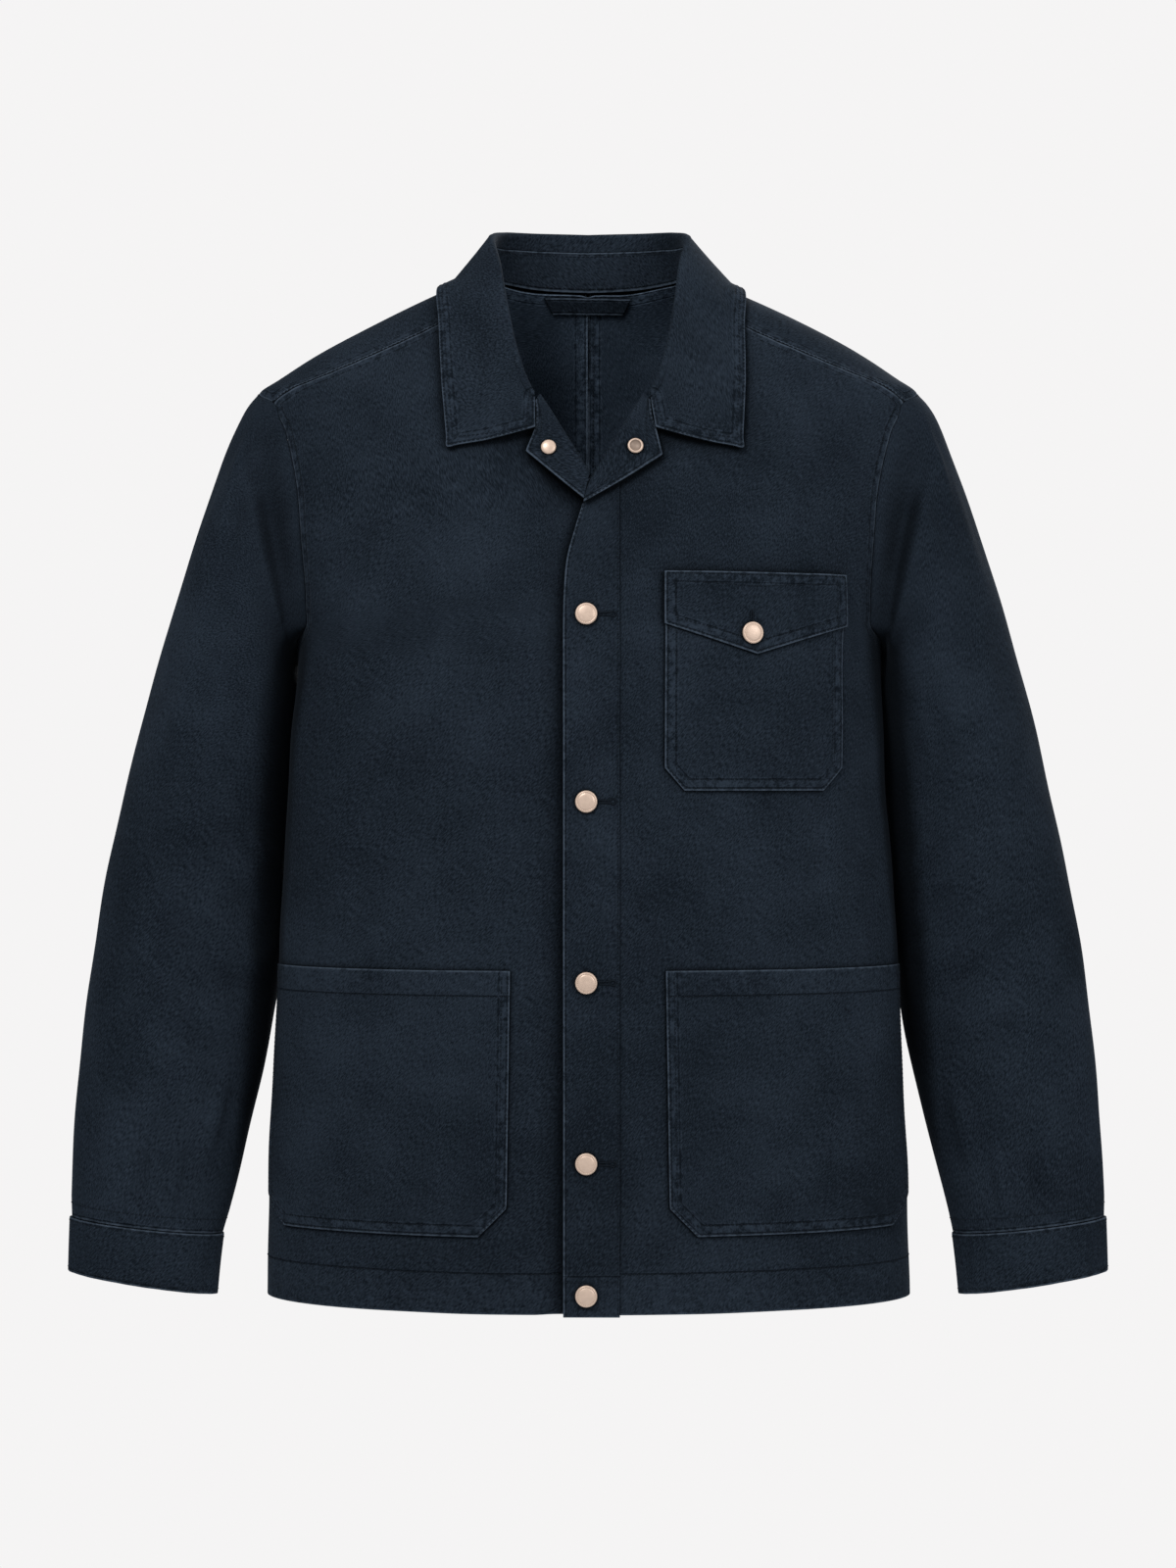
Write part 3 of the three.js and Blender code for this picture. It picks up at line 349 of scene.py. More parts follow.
# Soft pulls of the body's cloth: from the armholes, over the pockets, beside the front strip, and
# round the back. The last columns are how far a crease leans and how far out it stands.
BODY_CREASES = table("angle z spread length lean out", [
    (62, -190, 3.4, 62, -0.10, 1.5),
    (70, -215, 2.6, 70, -0.07, -1.2),
    (57, -150, 3.0, 40, -0.16, -1.1),
    (-60, -195, 3.2, 66, 0.11, 1.5),
    (-68, -222, 2.5, 58, 0.07, -1.3),
    (-52, -158, 2.8, 38, 0.15, 1.0),
    (-42, -285, 4.6, 84, 0.05, 1.3),
    (-30, -330, 3.2, 60, 0.03, -0.9),
    (-22, -420, 3.6, 52, -0.06, 1.0),
    (30, -415, 4.0, 44, 0.08, 1.2),
    (48, -430, 3.4, 50, 0.05, -1.1),
    (66, -400, 4.2, 72, 0.02, 1.4),
    (-66, -410, 4.0, 64, -0.03, 1.3),
    (16, -640, 3.0, 52, 0.02, 0.8),
    (-18, -655, 2.8, 44, -0.03, 0.9),
    (-50, -688, 5.0, 26, 0.02, 0.9),
    (52, -686, 4.4, 28, -0.04, 0.8),
    (108, -250, 4.0, 66, 0.12, 1.8),
    (122, -300, 3.4, 54, 0.09, -1.4),
    (150, -210, 4.2, 80, 0.07, 1.5),
    (168, -330, 3.2, 96, 0.02, -1.2),
    (-112, -262, 3.8, 58, -0.13, 1.7),
    (-128, -310, 3.2, 70, -0.06, -1.5),
    (-158, -230, 4.4, 66, -0.05, 1.3),
    (-170, -420, 3.0, 88, 0.03, 1.1),
    (136, -430, 3.6, 74, 0.05, 1.4),
    (-138, -450, 3.4, 60, -0.04, -1.2),
])


def cloth_life(around, up):
    height = 0
    for wave in CLOTH_WAVES:
        height = height + wave["out"] * np.sin(wave["round"] * around + wave["up"] * up + wave["turn"])
    return height


def torso(angle, z, out):
    lift = out + cloth_life(BODY_REACH * angle, z)
    for fold in BODY_FOLDS:
        lift = lift + fold["out"] * bump(angle - fold["angle"], fold["spread"]) * bump(
            z - fold["z"], fold["length"])
    for crease in BODY_CREASES:
        aside = angle - crease["angle"] - crease["lean"] * (z - crease["z"])
        lift = lift + crease["out"] * bump(aside, crease["spread"]) * bump(
            z - crease["z"], crease["length"])
    return bare_torso(angle, z) + torso_normal(angle, z) * np.asarray(lift)[..., None]


def angle_at(x, z, back):
    x = np.asarray(x, float)
    half, power = follow(TORSO_RINGS, "z", z, "half"), follow(TORSO_RINGS, "z", z, "power")
    depth = follow(TORSO_RINGS, "z", z, "back" if back else "front")
    reach = np.minimum(np.abs(x) / half, 1)
    y = depth * (1 - reach ** power) ** (1 / power)
    return np.degrees(np.arctan2(np.abs(x), -y if back else y)) * np.where(x < 0, -1, 1)


def front_point(x, z, out):
    return torso(angle_at(x, z, False), z, out)


def torso_level(points):
    x, y, z = np.moveaxis(points, -1, 0)
    read = torso_ring(z)
    depth = np.where(y < 0, read["front"], read["back"])
    across = np.abs(x / read["half"]) ** read["power"]
    return (across + np.abs(y / depth) ** read["power"]) ** (1 / read["power"]) - 1


def lifted_clear(points, clearance):
    """Points nearer to the torso than the clearance are moved out to it"""
    points = np.array(points, float)
    for _ in range(4):
        slope = np.stack([
            torso_level(points + shift) - torso_level(points - shift)
            for shift in np.eye(3) * PROBE
        ], axis=-1)
        steep = np.linalg.norm(slope, axis=-1)
        short = np.maximum(clearance - torso_level(points) / steep, 0)
        points = points + slope / steep[..., None] * short[..., None]
    return points


# Edges of a panel on the torso, as chains of curves read by a share from 0 to 1

def on_torso(rows, side):
    return [
        (side * float(angle_at(row["x"], row["z"], bool(row["back"]))), row["z"]) for row in rows
    ]


def curve_through(places):
    rows = [{"index": index, "angle": angle, "z": z} for index, (angle, z) in enumerate(places)]
    at = np.linspace(0, len(rows) - 1, 24 * (len(rows) - 1) + 1)
    angle, z = (follow(rows, "index", at, name) for name in ("angle", "z"))
    steps = np.linalg.norm(np.diff(bare_torso(angle, z), axis=0), axis=-1)
    lengths = np.concatenate([[0], np.cumsum(steps)])
    lengths /= lengths[-1]
    return lambda share: (np.interp(share, lengths, angle), np.interp(share, lengths, z))


def chain(*links):
    """Each link is the share where it ends and its places"""
    curves = [(until, curve_through(places)) for until, places in links]

    def read(share):
        share = np.asarray(share, float)
        angle, z = np.zeros(share.shape), np.zeros(share.shape)
        start = 0.0
        for until, curve in curves:
            part = curve(np.clip((share - start) / (until - start), 0, 1))
            here = share > start if start else share >= 0
            angle, z = np.where(here, part[0], angle), np.where(here, part[1], z)
            start = until
        return angle, z

    return read


def panel_place(edges, across, up):
    """Places spread evenly between a panel's four edges"""
    zero, one = np.zeros(1), np.ones(1)
    result = []
    for part in (0, 1):
        sides = mix(edges["inner"](up)[part], edges["outer"](up)[part], across)
        ends = mix(edges["bottom"](across)[part], edges["top"](across)[part], up)
        low = mix(edges["bottom"](zero)[part], edges["bottom"](one)[part], across)
        high = mix(edges["top"](zero)[part], edges["top"](one)[part], across)
        result.append(sides + ends - mix(low, high, up))
    return result


ARMPIT_SHARE = 0.66
BREAK_SHARE = 0.86
FOLD_SHARE = 0.9
BACK_ARMPIT_SHARE = 0.55
BACK_NECK_SHARE = 0.86
PLACKET_BEND_SHARE = 0.78
# Seams overlap by this angle, so that no light shows through them
SEAM_TUCK = 0.05


def upright(x, low, high):
    return [{"x": x, "z": z, "back": 0} for z in np.linspace(low, high, 7)]


def neck_front(side):
    """The neck from its front end up"""
    return [dict(row, x=row["x"] + side * row["shift"]) for row in NECK_FRONT[::-1]]


def outer_edge(side, seam_angle, armhole, armpit_at, shoulder=()):
    seam, armpit_z = side * seam_angle, armhole[0]["z"]
    above = [*on_torso(armhole, side), *shoulder]
    above[0] = (seam, armpit_z)
    return chain((armpit_at, [(seam, HEM_Z), (seam, armpit_z)]), (1, above))


def straight_chain(start, end):
    return chain((1, [(float(start[0]), float(start[1])), (float(end[0]), float(end[1]))]))


def front_edges(side, *inner_links):
    inner = chain(*inner_links)
    outer = outer_edge(side, SIDE_SEAM + SEAM_TUCK, ARMHOLE_FRONT, ARMPIT_SHARE)
    return {
        "inner": inner, "outer": outer, "top": chain((1, on_torso(SHOULDER_LINE, side))),
        "bottom": straight_chain((inner(0)[0], HEM_Z), (outer(0)[0], HEM_Z)),
    }


def front_left_edges():
    edge_x, armpit_z = PLACKET_RIGHT, ARMHOLE_FRONT[0]["z"]
    fold = {"x": edge_x, "z": FOLD_OVER_PLACKET["z"], "back": 0}
    return front_edges(
        1,
        (ARMPIT_SHARE, on_torso(upright(edge_x, HEM_Z, armpit_z), 1)),
        (BREAK_SHARE, on_torso(upright(edge_x, armpit_z, fold["z"]), 1)),
        (FOLD_SHARE, on_torso([fold, neck_front(1)[0]], 1)),
        (1, on_torso(neck_front(1), 1)),
    )


def front_right_edges():
    """Seen from its own side, so its places past the middle have a negative x"""
    armpit = {"x": -UNDERLAP_EDGE, "z": ARMHOLE_FRONT[0]["z"], "back": 0}
    return front_edges(
        -1,
        (ARMPIT_SHARE, on_torso(upright(armpit["x"], HEM_Z, armpit["z"]), -1)),
        (BREAK_SHARE, on_torso([armpit, UNDERLAP_BEND, UNDERLAP_BREAK], -1)),
        (FOLD_SHARE, on_torso([UNDERLAP_BREAK, neck_front(-1)[0]], -1)),
        (1, on_torso(neck_front(-1), -1)),
    )


def underlap_drop(angle, z):
    x = -bare_torso(angle, z)[..., 0]
    share = np.clip((UNDERLAP_START_X - x) / UNDERLAP_RUN, 0, 1)
    return UNDERLAP_DROP * share * share * (3 - 2 * share)


def back_edges(side):
    """The inner edge runs up the middle, and then round the neck to the shoulder seam"""
    middle, armpit_z = side * (180 + SEAM_TUCK), ARMHOLE_BACK[0]["z"]
    neck = on_torso(NECK_LINE, side)
    neck[0] = (middle, NECK_LINE[0]["z"])
    shoulder = [(side * 90, ARMHOLE_TOP_Z), *on_torso([SHOULDER_POINT], side)]
    outer = outer_edge(
        side, SIDE_SEAM - SEAM_TUCK, ARMHOLE_BACK, BACK_ARMPIT_SHARE, shoulder)
    return {
        "inner": chain(
            (BACK_ARMPIT_SHARE, [(middle, HEM_Z), (middle, armpit_z)]),
            (BACK_NECK_SHARE, [(middle, armpit_z), neck[0]]),
            (1, neck)),
        "outer": outer,
        "top": chain((1, on_torso(SHOULDER_LINE, side))),
        "bottom": straight_chain((middle, HEM_Z), (outer(0)[0], HEM_Z)),
    }


def placket_edges():
    bend_z, top = PLACKET_EDGE_CURVE[0]["z"], FOLD_OVER_PLACKET["z"]
    left = chain(
        (PLACKET_BEND_SHARE, on_torso(upright(PLACKET_LEFT, PLACKET_LOW_Z, bend_z), 1)),
        (1, on_torso(PLACKET_EDGE_CURVE, 1)))
    right = chain(
        (PLACKET_BEND_SHARE, on_torso(upright(PLACKET_RIGHT, PLACKET_LOW_Z, bend_z), 1)),
        (1, on_torso(upright(PLACKET_RIGHT, bend_z, top), 1)))
    return {
        "inner": left, "outer": right,
        "bottom": straight_chain(left(0), right(0)), "top": straight_chain(left(1), right(1)),
    }


# Sleeves and cuffs, as rings

def armhole_rim(side):
    """The armhole as a closed line: 0 is the shoulder, 90 the front, 180 the armpit"""
    top, armpit = (side * 90, ARMHOLE_TOP_Z), (side * SIDE_SEAM, ARMHOLE_FRONT[0]["z"] + 1)
    halves = []
    for rows in (ARMHOLE_FRONT, ARMHOLE_BACK):
        places = on_torso(rows, side)[::-1]
        halves.append(curve_through([top, *places[:-1], armpit]))

    def place_at(turn):
        turn = np.mod(turn, 360)
        front = halves[0](np.clip(turn / 180, 0, 1))
        back = halves[1](np.clip((360 - turn) / 180, 0, 1))
        return [np.where(turn <= 180, front[part], back[part]) for part in (0, 1)]

    middle = bare_torso(side * 92.0, (top[1] + armpit[1]) / 2)

    def rim(turn):
        angle, z = place_at(turn)
        points = torso(angle, z, ARMHOLE_LIFT)
        along = bare_torso(*place_at(turn + 2)) - bare_torso(*place_at(turn - 2))
        away = unit(np.cross(along, torso_normal(angle, z)))
        away = away * np.sign(np.sum(away * (middle - points), axis=-1))[..., None]
        return points + away * ARMHOLE_GAP

    return rim


def ring_point(rows, side, at, turn):
    read = {name: follow(rows, "at", at, name) for name in RING_COLUMNS.split()[1:]}
    cosine, sine = np.cos(np.radians(turn)), np.sin(np.radians(turn))
    x = side * (mix(read["topX"], read["lowX"], 0.5) + (read["topX"] - read["lowX"]) / 2 * cosine)
    z = mix(read["topZ"], read["lowZ"], 0.5) + (read["topZ"] - read["lowZ"]) / 2 * cosine
    return stack(x, read["back"] - read["depth"] * sine, z)


def ring_middle(rows, side, at):
    return (ring_point(rows, side, at, 0.0) + ring_point(rows, side, at, 180.0)) / 2


# Finer creases of the visible cloth: soft ridge down from the shoulder, pulls at elbow and cuff.
# A lean turns a crease round the sleeve as it runs down.
SLEEVE_CREASES = table("at round lean slant length spread out", [
    (1.7, 34, 14, 0, 1.5, 8, 1.9),
    (2.2, 58, 8, 6, 1.6, 12, -1.5),
    (4.6, 118, 0, -26, 1.3, 10, 1.2),
    (5.4, 62, 4, 0, 2.2, 12, 0.9),
    (6.7, 128, 0, 66, 0.30, 40, 1.6),
    (7.55, 122, 0, 75, 0.26, 46, -1.5),
    (8.1, 112, 0, 79, 0.30, 52, 1.7),
    (8.6, 106, 0, 79, 0.26, 48, -1.6),
    (9.1, 97, 0, 79, 0.30, 50, 1.5),
    (9.65, 100, 0, 70, 0.30, 44, -1.3),
    (10.6, 128, 0, -30, 0.8, 9, 1.9),
    (11.3, 84, 0, 0, 0.75, 8, -1.8),
    (11.4, 108, 0, 8, 0.7, 7, 1.7),
    (7.2, 226, 0, -50, 0.3, 34, 1.8),
    (8.6, 240, 0, -44, 0.3, 30, -1.6),
    (9.6, 250, 0, -30, 0.34, 26, 1.6),
    (11.2, 266, 0, 0, 0.8, 9, 1.5),
    (2.6, 312, -10, 0, 1.7, 10, 1.8),
])

# Troughs that follow the armhole seam a little way down the sleeve, at the front and the back
ARMHOLE_DIPS = table("at round length spread out", [
    (1.0, 74, 0.93, 78, -12),
    (0.95, 284, 0.8, 66, -7),
])


# Each crease stands this many times as far out, and lies this share of a ring lower on the left
# sleeve. A slant of 90 moves it on by a ring in 60 degrees.
CREASE_STRENGTH = 1.9
LEFT_CREASES_LOWER = 0.06
SLANT_RUN = 60
# The slow waves are read at these reaches, which join up round the sleeve
WAVE_REACH = {"front": 90, "top": 60, "side": 40, "ring": 52}


def turn_between(turn, centre):
    """From -180 to 180"""
    return np.mod(turn - centre + 540, 360) - 180


def sleeve_bumps(rows, at, turn):
    height = 0
    for row in rows:
        distance = turn_between(turn, row["round"])
        height = height + row["out"] * bump(distance, row["spread"]) * bump(
            at - row["at"], row["length"])
    return height


def sleeve_height(side, at, turn):
    sine, cosine = np.sin(np.radians(turn)), np.cos(np.radians(turn))
    reach = WAVE_REACH["front"] * sine - WAVE_REACH["top"] * cosine
    height = cloth_life(reach + WAVE_REACH["side"] * side, WAVE_REACH["ring"] * at)
    height = height + sleeve_bumps(SLEEVE_FOLDS, at, turn)
    for crease in SLEEVE_CREASES:
        distance = turn_between(turn, crease["round"] + crease["lean"] * (at - crease["at"]))
        slide = at - crease["at"] - distance / SLANT_RUN * crease["slant"] / 90
        slide = slide - LEFT_CREASES_LOWER * side
        height = height + CREASE_STRENGTH * crease["out"] * bump(
            distance, crease["spread"]) * bump(slide, crease["length"])
    return height


# Rings lie closer together at the armhole, whose shape fades out of them, and the folds die out
# near both ends
RING_SPREAD = 1.15
RIM_REACH = 3.2
RIM_FADE = 1.5
FOLD_FREE_TOP = 0.5
FOLD_FREE_LOW = 0.25


def sleeve_surface(side):
    rim = armhole_rim(side)

    def surface(across, down):
        turn = 360 * across
        at = SLEEVE_END * down ** RING_SPREAD
        points = ring_point(SLEEVE_RINGS, side, at, turn)
        shape = rim(turn) - ring_point(SLEEVE_RINGS, side, 0.0, turn)
        fade = np.maximum(1 - at / RIM_REACH, 0) ** RIM_FADE
        points = points + shape * fade[..., None]
        away = unit(points - ring_middle(SLEEVE_RINGS, side, at))
        ends = np.clip(at / FOLD_FREE_TOP, 0, 1) * np.clip((SLEEVE_END - at) / FOLD_FREE_LOW, 0, 1)
        points = points + away * (sleeve_height(side, at, turn) * ends)[..., None]
        clear = lifted_clear(points, np.minimum(SLEEVE_CLEAR_AT_ARMHOLE + 2 * at, SLEEVE_CLEAR))
        dipped = clear + away * sleeve_bumps(ARMHOLE_DIPS, at, turn)[..., None]
        return np.where((at > 0)[..., None], dipped, points)

    return surface


# Waves round a cuff: how many, their height and where they start
CUFF_WAVES = ((9, 0.35, 0), (23, 0.25, 1))


def cuff_surface(side):
    def surface(across, down):
        points = ring_point(CUFF_RINGS, side, CUFF_END * down, 360 * across)
        away = unit(points - ring_middle(CUFF_RINGS, side, CUFF_END * down))
        swell = sum(
            out * np.sin(count * 2 * np.pi * across + start) for count, out, start in CUFF_WAVES)
        return points + away * swell[..., None]

    return surface


# Collar and turned-back front tops

for row in COLLAR_ROWS:
    row["neckAngle"] = float(angle_at(row["neckX"], row["neckZ"], bool(row["neckBack"])))


def collar_section(at):
    side, reach = np.where(at < 0, -1.0, 1.0), np.abs(at)
    read = {name: follow(COLLAR_ROWS, "at", reach, name) for name in COLLAR_ROWS[0]}
    neck_angle = side * read["neckAngle"] + read["neckTurn"]
    neck = bare_torso(neck_angle, read["neckZ"])
    roll = stack(side * read["rollX"] + read["rollShift"], read["rollY"], read["rollZ"])
    edge = stack(side * read["edgeX"] + read["edgeShift"], read["edgeY"], read["edgeZ"])
    up = unit(roll - neck)
    normal = torso_normal(neck_angle, read["neckZ"])
    out = unit(normal - up * np.sum(normal * up, axis=-1)[..., None])
    return {"neck": neck, "roll": roll, "edge": edge, "up": up, "out": out}


# The stand narrows from this section on, down to this share of the height
STAND_NARROWS = 6.5
STAND_END_SHARE = 0.3
STAND_SEAM = 0.4


def stand_top(at):
    narrowed = np.maximum(np.abs(at) - STAND_NARROWS, 0) / (COLLAR_END - STAND_NARROWS)
    return mix(STAND_SHARE, STAND_END_SHARE, narrowed)


def stand_surface(across, up_share):
    at = mix(-COLLAR_END, COLLAR_END, across)
    part = collar_section(at)
    low = part["neck"] + part["up"] * (SEAM_GAP + STAND_SEAM)
    high = mix(part["neck"], part["roll"], stand_top(at)[..., None]) - part["up"] * SEAM_GAP
    return mix(low, high, up_share[..., None])


# Shares of a section's run where the leaf's turn starts and ends
ROLL_START = 0.1
ROLL_END = 0.2


def leaf_surface(across, down):
    """The first part of a section runs up to the roll, then it turns, and then it falls"""
    at = mix(-COLLAR_END, COLLAR_END, across)
    part = collar_section(at)
    start = mix(part["neck"], part["roll"], stand_top(at)[..., None]) + part["up"] * SEAM_GAP / 2
    turn_start = part["roll"] - part["up"] * COLLAR_ROLL
    pivot = turn_start + part["out"] * COLLAR_ROLL
    rise = np.clip(down / ROLL_START, 0, 1)[..., None]
    turn = (np.pi * np.clip((down - ROLL_START) / (ROLL_END - ROLL_START), 0, 1))[..., None]
    fall = np.clip((down - ROLL_END) / (1 - ROLL_END), 0, 1)
    rolled = (pivot - part["out"] * COLLAR_ROLL * np.cos(turn)
              + part["up"] * COLLAR_ROLL * np.sin(turn))
    turned = pivot + part["out"] * COLLAR_ROLL
    fallen = mix(turned, part["edge"], fall[..., None])
    fallen = lifted_clear(fallen, mix(LEAF_LIFT_AT_ROLL, LEAF_LIFT_AT_EDGE, fall))
    points = np.where((down <= ROLL_START)[..., None], mix(start, turn_start, rise), rolled)
    return np.where((down > ROLL_END)[..., None], fallen, points)


# The share of a turned-back front that makes its turn, and how far its free edge lifts
LAPEL_TURN = 0.3
LAPEL_RISE = 0.6


def lapel_surface(rows):
    def surface(down, ahead):
        read = {name: follow(rows, "at", LAPEL_END * down, name) for name in rows[0]}
        reach = stack(read["edgeX"] - read["foldX"], read["edgeZ"] - read["foldZ"])
        length = np.linalg.norm(reach, axis=-1)
        reach = reach / length[..., None]
        turn = np.pi * np.clip(ahead / LAPEL_TURN, 0, 1)
        lie = np.clip((ahead - LAPEL_TURN) / (1 - LAPEL_TURN), 0, 1)
        forward = np.where(
            ahead < LAPEL_TURN, SEAM_GAP + LAPEL_ROLL * np.sin(turn),
            SEAM_GAP - lie * (length + SEAM_GAP))
        out = LAPEL_ROLL * (1 - np.cos(turn)) - CLOTH_WALL / 2 + LAPEL_RISE * lie
        x = read["foldX"] - reach[..., 0] * forward
        z = read["foldZ"] - reach[..., 1] * forward
        return front_point(x, z, out)

    return surface


# Patches on the torso

def row_at(rows, down):
    """Straight between the rows, with an even share of the height"""
    z = mix(rows[0]["z"], rows[-1]["z"], down)
    keys = -column(rows, "z")
    return z, np.interp(-z, keys, column(rows, "inner")), np.interp(-z, keys, column(rows, "outer"))


def chest_pocket_place(across, down):
    z, inner, outer = row_at(CHEST_POCKET_ROWS, down)
    return angle_at(mix(inner, outer, across), z, False), z


def hip_pocket_place(across, down):
    z, inner, outer = row_at(HIP_POCKET_ROWS, down)
    return mix(angle_at(inner, z, False), outer, across), z


def flap_place(across, down):
    low = FLAP["tip"] + np.abs(across - 0.5) * 2 * (FLAP["side"] - FLAP["tip"])
    z = mix(FLAP["top"], low, down)
    return angle_at(mix(FLAP["inner"], FLAP["outer"], across), z, False), z


# Mesh making

def shares(bm):
    """A new grid's places, each way from 0 to 1"""
    flat = np.array([vertex.co[:2] for vertex in bm.verts])
    low, high = flat.min(axis=0), flat.max(axis=0)
    return ((flat - low) / (high - low)).T


# Distances from seams and hems are measured up to these, and are the same beyond them
SEAM_REACH = 14.0
HEM_REACH = 60.0
LINE_PITCH = 1.2
BATCH = 4000


def edge_distance(points, lines, most):
    """The distance from each point to the nearest of the lines, in batches to spare memory"""
    nearest = np.full(len(points), most)
    for line in lines:
        line = resampled(line, LINE_PITCH)
        for start in range(0, len(points), BATCH):
            batch = slice(start, start + BATCH)
            gaps = np.linalg.norm(points[batch][:, None, :] - line[None, :, :], axis=-1).min(axis=1)
            nearest[batch] = np.minimum(nearest[batch], gaps)
    return nearest


def resampled(line, pitch):
    lengths = np.concatenate([[0], np.cumsum(np.linalg.norm(np.diff(line, axis=0), axis=-1))])
    count = max(int(lengths[-1] / pitch), 1) + 1
    at = np.linspace(0, lengths[-1], count)
    return np.stack([np.interp(at, lengths, line[:, part]) for part in range(3)], axis=-1)


def border(surface, side_name, count=240):
    """One side of a surface as a line of points"""
    run = np.linspace(0, 1, count)
    still = {"left": 0.0, "right": 1.0, "bottom": 0.0, "top": 1.0}[side_name] + 0 * run
    if side_name in ("left", "right"):
        return surface(still, run)
    return surface(run, still)


# Every so many faces are asked which way the piece faces
FACES_APART = 29
RIM_SHARE = 0.35
RIM_MOST = 0.6
RIM_ANGLE = 50


def sew(name, surface, grid, wall, outward, node, cloth, seams=(), hem=(), cut=None, closed=False,
        lining=None):
    """A cloth piece: a fine grid laid on a surface, thickened inwards and rounded at its rim.

    The cut is its flat size, which the weave runs on. Seams and hems are sides or lines.
    """
    bm = bmesh.new()
    bmesh.ops.create_grid(bm, x_segments=grid[0], y_segments=grid[1], size=1)
    bm.verts.index_update()
    across, up = shares(bm)
    points = surface(across, up)
    near, far = (
        edge_distance(
            points,
            [border(surface, line) if isinstance(line, str) else line for line in lines], most)
        for lines, most in ((seams, SEAM_REACH), (hem, HEM_REACH)))
    edge_layer = bm.verts.layers.float.new("edge")
    hem_layer = bm.verts.layers.float.new("hem")
    cut_layer = bm.loops.layers.uv.new("Cut")
    width, length = (span * MM for span in cut)
    for vertex, point, edge_gap, hem_gap in zip(bm.verts, points, near, far):
        vertex.co = Vector(point) * MM
        vertex[edge_layer] = edge_gap * MM
        vertex[hem_layer] = hem_gap * MM
    for face in bm.faces:
        for loop in face.loops:
            at = loop.vert.index
            loop[cut_layer].uv = (across[at] * width, up[at] * length)
    if closed:
        bmesh.ops.remove_doubles(bm, verts=bm.verts, dist=1e-6)
    bm.normal_update()
    facing = sum(
        face.normal.dot(Vector(outward(face.calc_center_median() / MM)))
        for face in list(bm.faces)[::FACES_APART])
    if facing < 0:
        bmesh.ops.reverse_faces(bm, faces=bm.faces)
        for face in bm.faces:
            for loop in face.loops:
                loop[cut_layer].uv.x = width - loop[cut_layer].uv.x
    piece = finished(name, bm, cloth, node)
    solidify = piece.modifiers.new("Wall", "SOLIDIFY")
    solidify.thickness = wall * MM
    solidify.offset = -1
    solidify.use_rim = True
    if lining:
        piece.data.materials.append(lining)
        solidify.material_offset = 1
    rounding = piece.modifiers.new("Rim", "BEVEL")
    rounding.width = min(wall * RIM_SHARE, RIM_MOST) * MM
    rounding.segments = 2
    rounding.limit_method = "ANGLE"
    rounding.angle_limit = math.radians(RIM_ANGLE)
    return piece


def finished(name, bm, material, node=None):
    mesh = bpy.data.meshes.new(name)
    bm.to_mesh(mesh)
    bm.free()
    for polygon in mesh.polygons:
        polygon.use_smooth = True
    mesh.materials.append(material)
    piece = bpy.data.objects.new(name, mesh)
    bpy.context.scene.collection.objects.link(piece)
    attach(piece, ROOT)
    if node:
        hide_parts(node)
    return piece


# Ways out of the body count this much of x, since it is wider than deep
FLATTENED = 0.4


def from_torso_axis(point):
    return (point[0] * FLATTENED, point[1], 0)


# Stitches: one small bead of few faces, repeated along each row and joined

STITCH_PROBE = 0.4
STITCH_DEPTH_SHARE = 0.8


def along_line(line, at, lengths):
    return np.stack([np.interp(at, lengths, line[:, part]) for part in range(3)], -1)


# Steps along a surface, as shares of it, for reading which way it faces
ROW_STEP = 0.004
WALL_STEP = 0.003


def stitch_rows(name, rows, cloth, half_width=STITCH_HALF_WIDTH, pitch=STITCH_PITCH,
                length=STITCH_LENGTH):
    """Rows are lines of points with a way out at each point"""
    whole = bmesh.new()
    for line, ways in rows:
        lengths = np.concatenate([[0], np.cumsum(np.linalg.norm(np.diff(line, axis=0), axis=-1))])
        middles = np.arange(pitch / 2, lengths[-1], pitch)
        after, before = (
            along_line(line, middles + step, lengths) for step in (STITCH_PROBE, -STITCH_PROBE))
        ahead = unit(after - before)
        way = unit(along_line(ways, middles, lengths))
        aside = unit(np.cross(way, ahead))
        row = bmesh.new()
        for centre, *axes in zip(along_line(line, middles, lengths), ahead, aside, way):
            turn = Matrix([[float(axis[part]) for axis in axes] for part in range(3)]).to_4x4()
            size = Matrix.Diagonal((length / 2, half_width, half_width * STITCH_DEPTH_SHARE, 1))
            bmesh.ops.create_uvsphere(
                row, u_segments=5, v_segments=3, radius=1,
                matrix=Matrix.Scale(MM, 4) @ Matrix.Translation(Vector(centre)) @ turn @ size)
        mesh = bpy.data.meshes.new(name)
        row.to_mesh(mesh)
        row.free()
        whole.from_mesh(mesh)
        bpy.data.meshes.remove(mesh)
    return finished(name, whole, cloth)


def square_to(surface, across, up, step):
    """The way square to a surface, and whether it points out of the body"""
    def near(across_by, up_by):
        return surface(np.clip(across + across_by, 0, 1), np.clip(up + up_by, 0, 1))

    way = unit(np.cross(near(step, 0) - near(-step, 0), near(0, step) - near(0, -step)))
    points = surface(across, up)
    return way, way * stack(points[:, 0] * FLATTENED, points[:, 1], 0 * points[:, 2])


def row_on(surface, across, up, lift=STITCH_LIFT):
    """A stitch row on a surface, lifted a little off it"""
    way, outness = square_to(surface, across, up, ROW_STEP)
    way = way * np.sign(np.sum(outness, -1))[:, None]
    return surface(across, up) + way * lift, way


